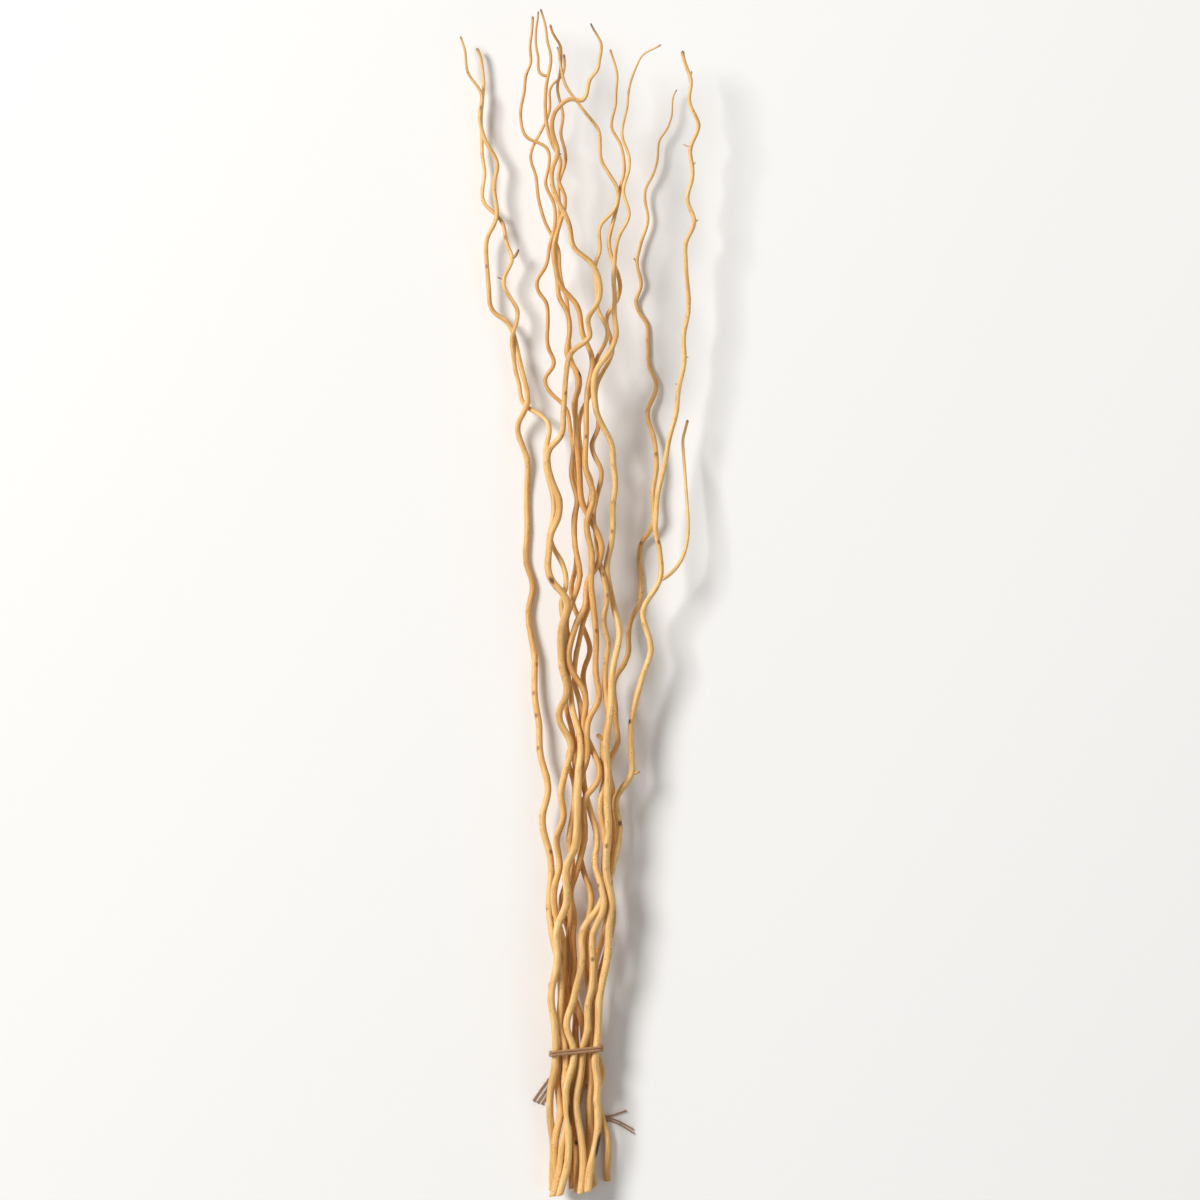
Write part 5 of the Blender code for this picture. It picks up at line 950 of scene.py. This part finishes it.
def strand_surface(line, radius, rng, sides=STRAND_SIDES, closed=False):
    """A plain tube for twine strands and fibres, open or closed into a loop."""
    across, top = axes_of(line, closed)
    angle = np.linspace(0.0, 2 * math.pi, sides, endpoint=False)
    radius = np.broadcast_to(radius, (len(line),))
    reach = radius[:, None] * (1 + STRAND_UNEVEN * rng.standard_normal((len(line), sides)))
    places = line[:, None, :] + reach[:, :, None] * (np.cos(angle)[None, :, None] * across[:, None, :]
                                                     + np.sin(angle)[None, :, None] * top[:, None, :])
    places[:, :, 2] = np.maximum(places[:, :, 2], FLOOR_LIFT)
    rings = len(line)
    last = rings if closed else rings - 1
    faces = []
    for ring in range(last):
        for spoke in range(sides):
            after = (spoke + 1) % sides
            follow = (ring + 1) % rings
            faces.append((ring * sides + spoke, ring * sides + after,
                          follow * sides + after, follow * sides + spoke))
    if not closed:
        faces.append(tuple(range(sides - 1, -1, -1)))
        faces.append(tuple((rings - 1) * sides + spoke for spoke in range(sides)))
    run = np.concatenate([[0.0], np.cumsum(np.linalg.norm(np.diff(line, axis=0), axis=1))])
    grain = np.stack([np.repeat(run[:, None], sides, axis=1), np.cos(angle)[None, :] + 0 * reach,
                      np.sin(angle)[None, :] + 0 * reach], axis=2) + rng.uniform(0, STRAND_GRAIN)
    dark = np.repeat(rng.uniform(0.0, 0.25, rings)[:, None], sides, axis=1)
    return places.reshape(-1, 3), faces, dark.ravel(), grain.reshape(-1, 3), np.zeros(rings * sides)


def twisted(line, radius, strands, pitch, rng, closed=False):
    """Strands laid round each other along a line, as in twine."""
    count = len(line)
    across, top = axes_of(line, closed)
    length = np.linalg.norm(np.diff(line, axis=0), axis=1).sum()
    turns = max(1, round(length / pitch))
    share = np.arange(count) / (count if closed else count - 1)
    surfaces = []
    for strand in range(strands):
        phase = 2 * math.pi * (share * turns + strand / strands)
        offset = radius * PLY_OFFSET * (np.cos(phase)[:, None] * across + np.sin(phase)[:, None] * top)
        surfaces.append(strand_surface(line + offset, radius * PLY_RADIUS, rng, closed=closed))
    return surfaces


def frayed_end(line, radius, rng):
    """The small round knob that the fibres make at the cut end of a strand."""
    end = line[-1]
    way = (line[-1] - line[-3]) / np.linalg.norm(line[-1] - line[-3])
    share = np.linspace(-1.0, 1.0, 9)
    knob = end + share[:, None] * way * KNOB_LENGTH
    knob[:, 2] += radius * KNOB_LIFT
    return [strand_surface(knob, radius * KNOB_WIDTH * np.sqrt(1.02 - share ** 2), rng)]


def fuzz(line, radius, count, length, rng):
    """Loose fibres that stand off a strand."""
    surfaces = []
    for number in range(count):
        index = rng.integers(0, len(line))
        out = rng.standard_normal(3)
        out /= np.linalg.norm(out)
        bend = rng.standard_normal(3) * FIBRE_BEND
        reach = rng.uniform(0.4, 1.0) * length
        steps = np.linspace(0.0, 1.0, FIBRE_POINTS)[:, None]
        fibre = line[index] + out * radius * 0.6 + steps * out * reach + steps ** 2 * bend * reach
        fibre[:, 2] = np.maximum(fibre[:, 2], FIBRE_LOWEST)
        radii = np.linspace(*FIBRE_RADII, FIBRE_POINTS)
        surfaces.append(strand_surface(fibre, radii, rng, sides=FIBRE_SIDES))
    return surfaces


def shader_of(name):
    """A new Principled material and its node tree."""
    made = bpy.data.materials.new(name)
    made.use_nodes = True
    tree = made.node_tree
    return made, tree, tree.nodes["Principled BSDF"]


def attribute(tree, label):
    node = tree.nodes.new("ShaderNodeAttribute")
    node.attribute_name = label
    return node


def noise(tree, vector, scale, detail, roughness=0.6):
    node = tree.nodes.new("ShaderNodeTexNoise")
    node.inputs["Scale"].default_value = scale
    node.inputs["Detail"].default_value = detail
    node.inputs["Roughness"].default_value = roughness
    tree.links.new(vector, node.inputs["Vector"])
    return node.outputs["Fac"]


def ramp(tree, factor, stops):
    node = tree.nodes.new("ShaderNodeValToRGB")
    band = node.color_ramp
    while len(band.elements) < len(stops):
        band.elements.new(0.5)
    for element, (place, colour) in zip(band.elements, stops):
        element.position = place
        element.color = (*colour, 1.0)
    tree.links.new(factor, node.inputs["Fac"])
    return node.outputs["Color"]


def mixed(tree, factor, first, second, blend="MIX"):
    node = tree.nodes.new("ShaderNodeMix")
    node.data_type = "RGBA"
    node.blend_type = blend
    for socket, value in ((node.inputs[0], factor), (node.inputs[6], first), (node.inputs[7], second)):
        if isinstance(value, (int, float)):
            socket.default_value = value
        elif isinstance(value, tuple):
            socket.default_value = (*value, 1.0)
        else:
            tree.links.new(value, socket)
    return node.outputs[2]


def pitted(tree, grain, colour):
    """Small brown pits, in clusters along the stems."""
    even = stretched(tree, grain, (PIT_SCALE / GRAIN_STRETCH, PIT_SCALE, PIT_SCALE))
    cells = tree.nodes.new("ShaderNodeTexVoronoi")
    cells.inputs["Scale"].default_value = 1.0
    tree.links.new(even, cells.inputs["Vector"])
    spot = ramp(tree, cells.outputs["Distance"], [(0.10, (1.0, 1.0, 1.0)), (0.24, (0.0, 0.0, 0.0))])
    where = noise(tree, stretched(tree, grain, (PIT_CLUSTERS / GRAIN_STRETCH, 0.2, 0.2)), 1.0, 1.0)
    cluster = ramp(tree, where, [(0.51, (0.0, 0.0, 0.0)), (0.58, (0.9, 0.9, 0.9))])
    share = tree.nodes.new("ShaderNodeMath")
    share.operation = "MULTIPLY"
    tree.links.new(spot, share.inputs[0])
    tree.links.new(cluster, share.inputs[1])
    return mixed(tree, share.outputs[0], colour, WOOD_STAIN)


def stretched(tree, vector, amounts):
    node = tree.nodes.new("ShaderNodeMapping")
    node.inputs["Scale"].default_value = amounts
    tree.links.new(vector, node.inputs["Vector"])
    return node.outputs["Vector"]


def bumped(tree, shader, height, distance, strength):
    node = tree.nodes.new("ShaderNodeBump")
    node.inputs["Strength"].default_value = strength
    node.inputs["Distance"].default_value = distance
    tree.links.new(height, node.inputs["Height"])
    tree.links.new(node.outputs["Normal"], shader.inputs["Normal"])


def wood_finish():
    """Bare peeled wood: golden tan with darker streaks, marks and tips, pale where it is cut, and browned by
    painted shade on the stems that lie lower in the bundle.
    """
    made, tree, shader = shader_of("peeled_wood_look")
    grain = attribute(tree, "grain").outputs["Vector"]
    streaks = noise(tree, grain, 1.1, 5.0, 0.65)
    patches = noise(tree, stretched(tree, grain, (0.35, 0.3, 0.3)), 0.5, 3.0)
    fine = noise(tree, stretched(tree, grain, (1.0, 3.0, 3.0)), 1.3, 3.0)
    colour = ramp(tree, streaks, [(0.22, WOOD_DEEP), (0.36, WOOD_SHADE), (0.52, WOOD_MID),
                                  (0.72, WOOD_LIGHT)])
    warm = ramp(tree, patches, [(0.34, (0.66, 0.53, 0.40)), (0.5, (0.97, 0.93, 0.87)),
                                (0.64, (1.0, 1.0, 1.0))])
    colour = mixed(tree, 0.7, colour, warm, "MULTIPLY")
    lines = ramp(tree, fine, [(0.3, (0.78, 0.66, 0.5)), (0.42, (1.0, 1.0, 1.0))])
    colour = mixed(tree, 0.3, colour, lines, "MULTIPLY")
    # Painted shade: the stems lying lower in the bundle are mixed towards a browner colour.
    colour = mixed(tree, attribute(tree, "painted_shade").outputs["Fac"], colour,
                   mixed(tree, 1.0, colour, WOOD_PAINTED_SHADE, "MULTIPLY"))
    colour = pitted(tree, grain, colour)
    colour = mixed(tree, attribute(tree, "pale").outputs["Fac"], colour, WOOD_CUT)
    dark = attribute(tree, "dark").outputs["Fac"]
    stain = ramp(tree, dark, [(0.0, WOOD_STAIN), (0.55, WOOD_STAIN), (0.95, WOOD_BARK)])
    colour = mixed(tree, dark, colour, stain)
    tree.links.new(colour, shader.inputs["Base Color"])
    shader.inputs["Roughness"].default_value = 0.5
    bumped(tree, shader, fine, 0.00012, 0.35)
    return made


def twine_finish():
    """Brown jute: fine fibres along the strands, matt."""
    made, tree, shader = shader_of("jute_twine_look")
    grain = attribute(tree, "grain").outputs["Vector"]
    fibres = noise(tree, stretched(tree, grain, (0.5, 5.0, 5.0)), 1.6, 4.0)
    colour = ramp(tree, fibres, [(0.3, TWINE_DARK), (0.5, TWINE_MID), (0.7, TWINE_LIGHT)])
    tree.links.new(colour, shader.inputs["Base Color"])
    shader.inputs["Roughness"].default_value = 0.9
    bumped(tree, shader, fibres, 0.0002, 0.7)
    return made


def floor_finish():
    made, tree, shader = shader_of("pale_floor")
    shader.inputs["Base Color"].default_value = (0.86, 0.85, 0.83, 1.0)
    shader.inputs["Roughness"].default_value = 0.85
    return made


def build_camera_and_light():
    """A far camera looking straight down, soft light from the upper left, and a pale floor."""
    camera = bpy.data.objects.new("camera", bpy.data.cameras.new("camera"))
    camera.location = (*board_to_world([(*VIEW_CENTRE, 0.0)])[0][:2], CAMERA_HEIGHT)
    camera.data.sensor_width = SENSOR
    camera.data.lens = SENSOR * CAMERA_HEIGHT / VIEW_WIDTH
    camera.data.clip_end = CLIP_END
    camera.data.dof.use_dof = False
    bpy.context.scene.collection.objects.link(camera)
    bpy.context.scene.camera = camera
    for label, place, size, power in LIGHTS:
        lamp = bpy.data.objects.new(label, bpy.data.lights.new(label, "AREA"))
        lamp.data.shape = "DISK"
        lamp.data.size = size
        lamp.data.energy = power
        lamp.location = place
        aim = mathutils.Vector(place) * -1.0
        lamp.rotation_euler = aim.to_track_quat("-Z", "Y").to_euler()
        bpy.context.scene.collection.objects.link(lamp)
    world = bpy.data.worlds.new("studio")
    world.use_nodes = True
    world.node_tree.nodes["Background"].inputs["Color"].default_value = (1.0, 1.0, 1.0, 1.0)
    world.node_tree.nodes["Background"].inputs["Strength"].default_value = SKY
    bpy.context.scene.world = world
    bpy.context.scene.view_settings.view_transform = "Standard"
    mesh = bpy.data.meshes.new("floor")
    corners = [(x * FLOOR_HALF, y * FLOOR_HALF, FLOOR_LEVEL) for x, y in ((-1, -1), (1, -1), (1, 1), (-1, 1))]
    mesh.from_pydata(corners, [], [(0, 1, 2, 3)])
    mesh.materials.append(floor_finish())
    floor = bpy.data.objects.new("floor", mesh)
    bpy.context.scene.collection.objects.link(floor)


def loop_line(rings, side):
    """One turn of the twine round the stems, as a smooth closed line."""
    outline = tie_outline(rings, TWINE_BAND, TWINE_RADIUS + TWINE_PRESS)
    places = []
    for x, z in outline:
        y = TIE_Y + TIE_TILT * (x - TIE_CENTRE_X) + side * TURN_SPREAD
        places.append((x, y, z))
    places = np.array(places)
    closed = np.vstack([places, places[:1]])
    run = np.concatenate([[0.0], np.cumsum(np.linalg.norm(np.diff(closed, axis=0), axis=1))])
    even = np.linspace(0.0, run[-1], TURN_POINTS, endpoint=False)
    return np.column_stack([np.interp(even, run, closed[:, axis]) for axis in range(3)])


def build_twine(rings, finish, rng):
    """The tie, its knot and its loose ends."""
    surfaces = []
    loops = []
    for side in (-1.0, 1.0):
        loop = loop_line(rings, side)
        loops.append(loop)
        surfaces += twisted(loop, TWINE_RADIUS, PLIES, TWINE_PITCH, rng, closed=True)
    outline = tie_outline(rings, TWINE_BAND, TWINE_RADIUS + TWINE_CLEAR)
    lower = sorted((x, z) for x, z in outline if z < KNOT_LEVEL)
    under = float(np.interp(KNOT_X, [x for x, z in lower], [z for x, z in lower]))
    centre = np.array([KNOT_X, TIE_Y + TIE_TILT * (KNOT_X - TIE_CENTRE_X), under - KNOT_DROP])
    for tilt in KNOT_TILTS:
        turn = np.linspace(0.0, 2 * math.pi, KNOT_POINTS, endpoint=False)
        wide, long, deep = KNOT_REACH
        knot = centre + np.column_stack([wide * np.cos(turn), long * np.sin(turn) + tilt * np.cos(turn),
                                         deep * np.sin(2 * turn + tilt)])
        surfaces += twisted(knot, TWINE_RADIUS, PLIES, TWINE_PITCH, rng, closed=True)
    for loop in loops:
        surfaces += fuzz(loop, TWINE_RADIUS, *LOOP_FUZZ, rng)
    tie = piece_from("twine_tie_look", surfaces, finish)
    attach(tie, "root")
    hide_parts("twine_tie")
    for name, route in TAILS.items():
        line = smooth_line(route, 1.0)
        tail = piece_from(name + "_look", twisted(line, TAIL_RADIUS, PLIES, TAIL_PITCH, rng)
                          + frayed_end(line, TAIL_RADIUS, rng), finish)
        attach(tail, "root")
        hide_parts(name)
        half = len(line) // 2
        hairs = piece_from(name + "_fibres", fuzz(line, TAIL_RADIUS, *TAIL_FUZZ, rng)
                           + fuzz(line[half:], TAIL_RADIUS, *END_FUZZ, rng), finish)
        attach(hairs, "root")


def build_all():
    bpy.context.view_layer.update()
    build_camera_and_light()
    lines = planned_lines()
    rings = eased_apart(laid_clear(rings_of(lines)))
    fine = visible_lines(lines, rings)
    twine = twine_finish()
    build_twine(rings, twine, np.random.default_rng(SEED))
    wood = wood_finish()
    for number, (name, (line, radius)) in enumerate(fine.items()):
        rng = np.random.default_rng(SEED + 1 + number)
        surfaces = [branch_surface(name, line, radius, rng)]
        for table, sides in ((FORKS, FORK_SIDES), (TWIGS, TWIG_SIDES)):
            for parent, route, root_radius, tip_radius in table:
                if parent == name:
                    flat, fork_radius = fork_line(line, route, root_radius, tip_radius)
                    surfaces.append(branch_surface(name, flat, fork_radius, rng, sides, False, True))
        stem = piece_from(name + "_look", surfaces, wood)
        # How much painted shade each stem gets, by how low it lies in the bundle.
        painted_shade = stem.data.attributes.new("painted_shade", "FLOAT", "POINT")
        painted_shade.data.foreach_set("value", [PAINTED_DEPTH_SHADE.get(name, 0.0)] * len(stem.data.vertices))
        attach(stem, "root")
        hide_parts(name)


build_all()
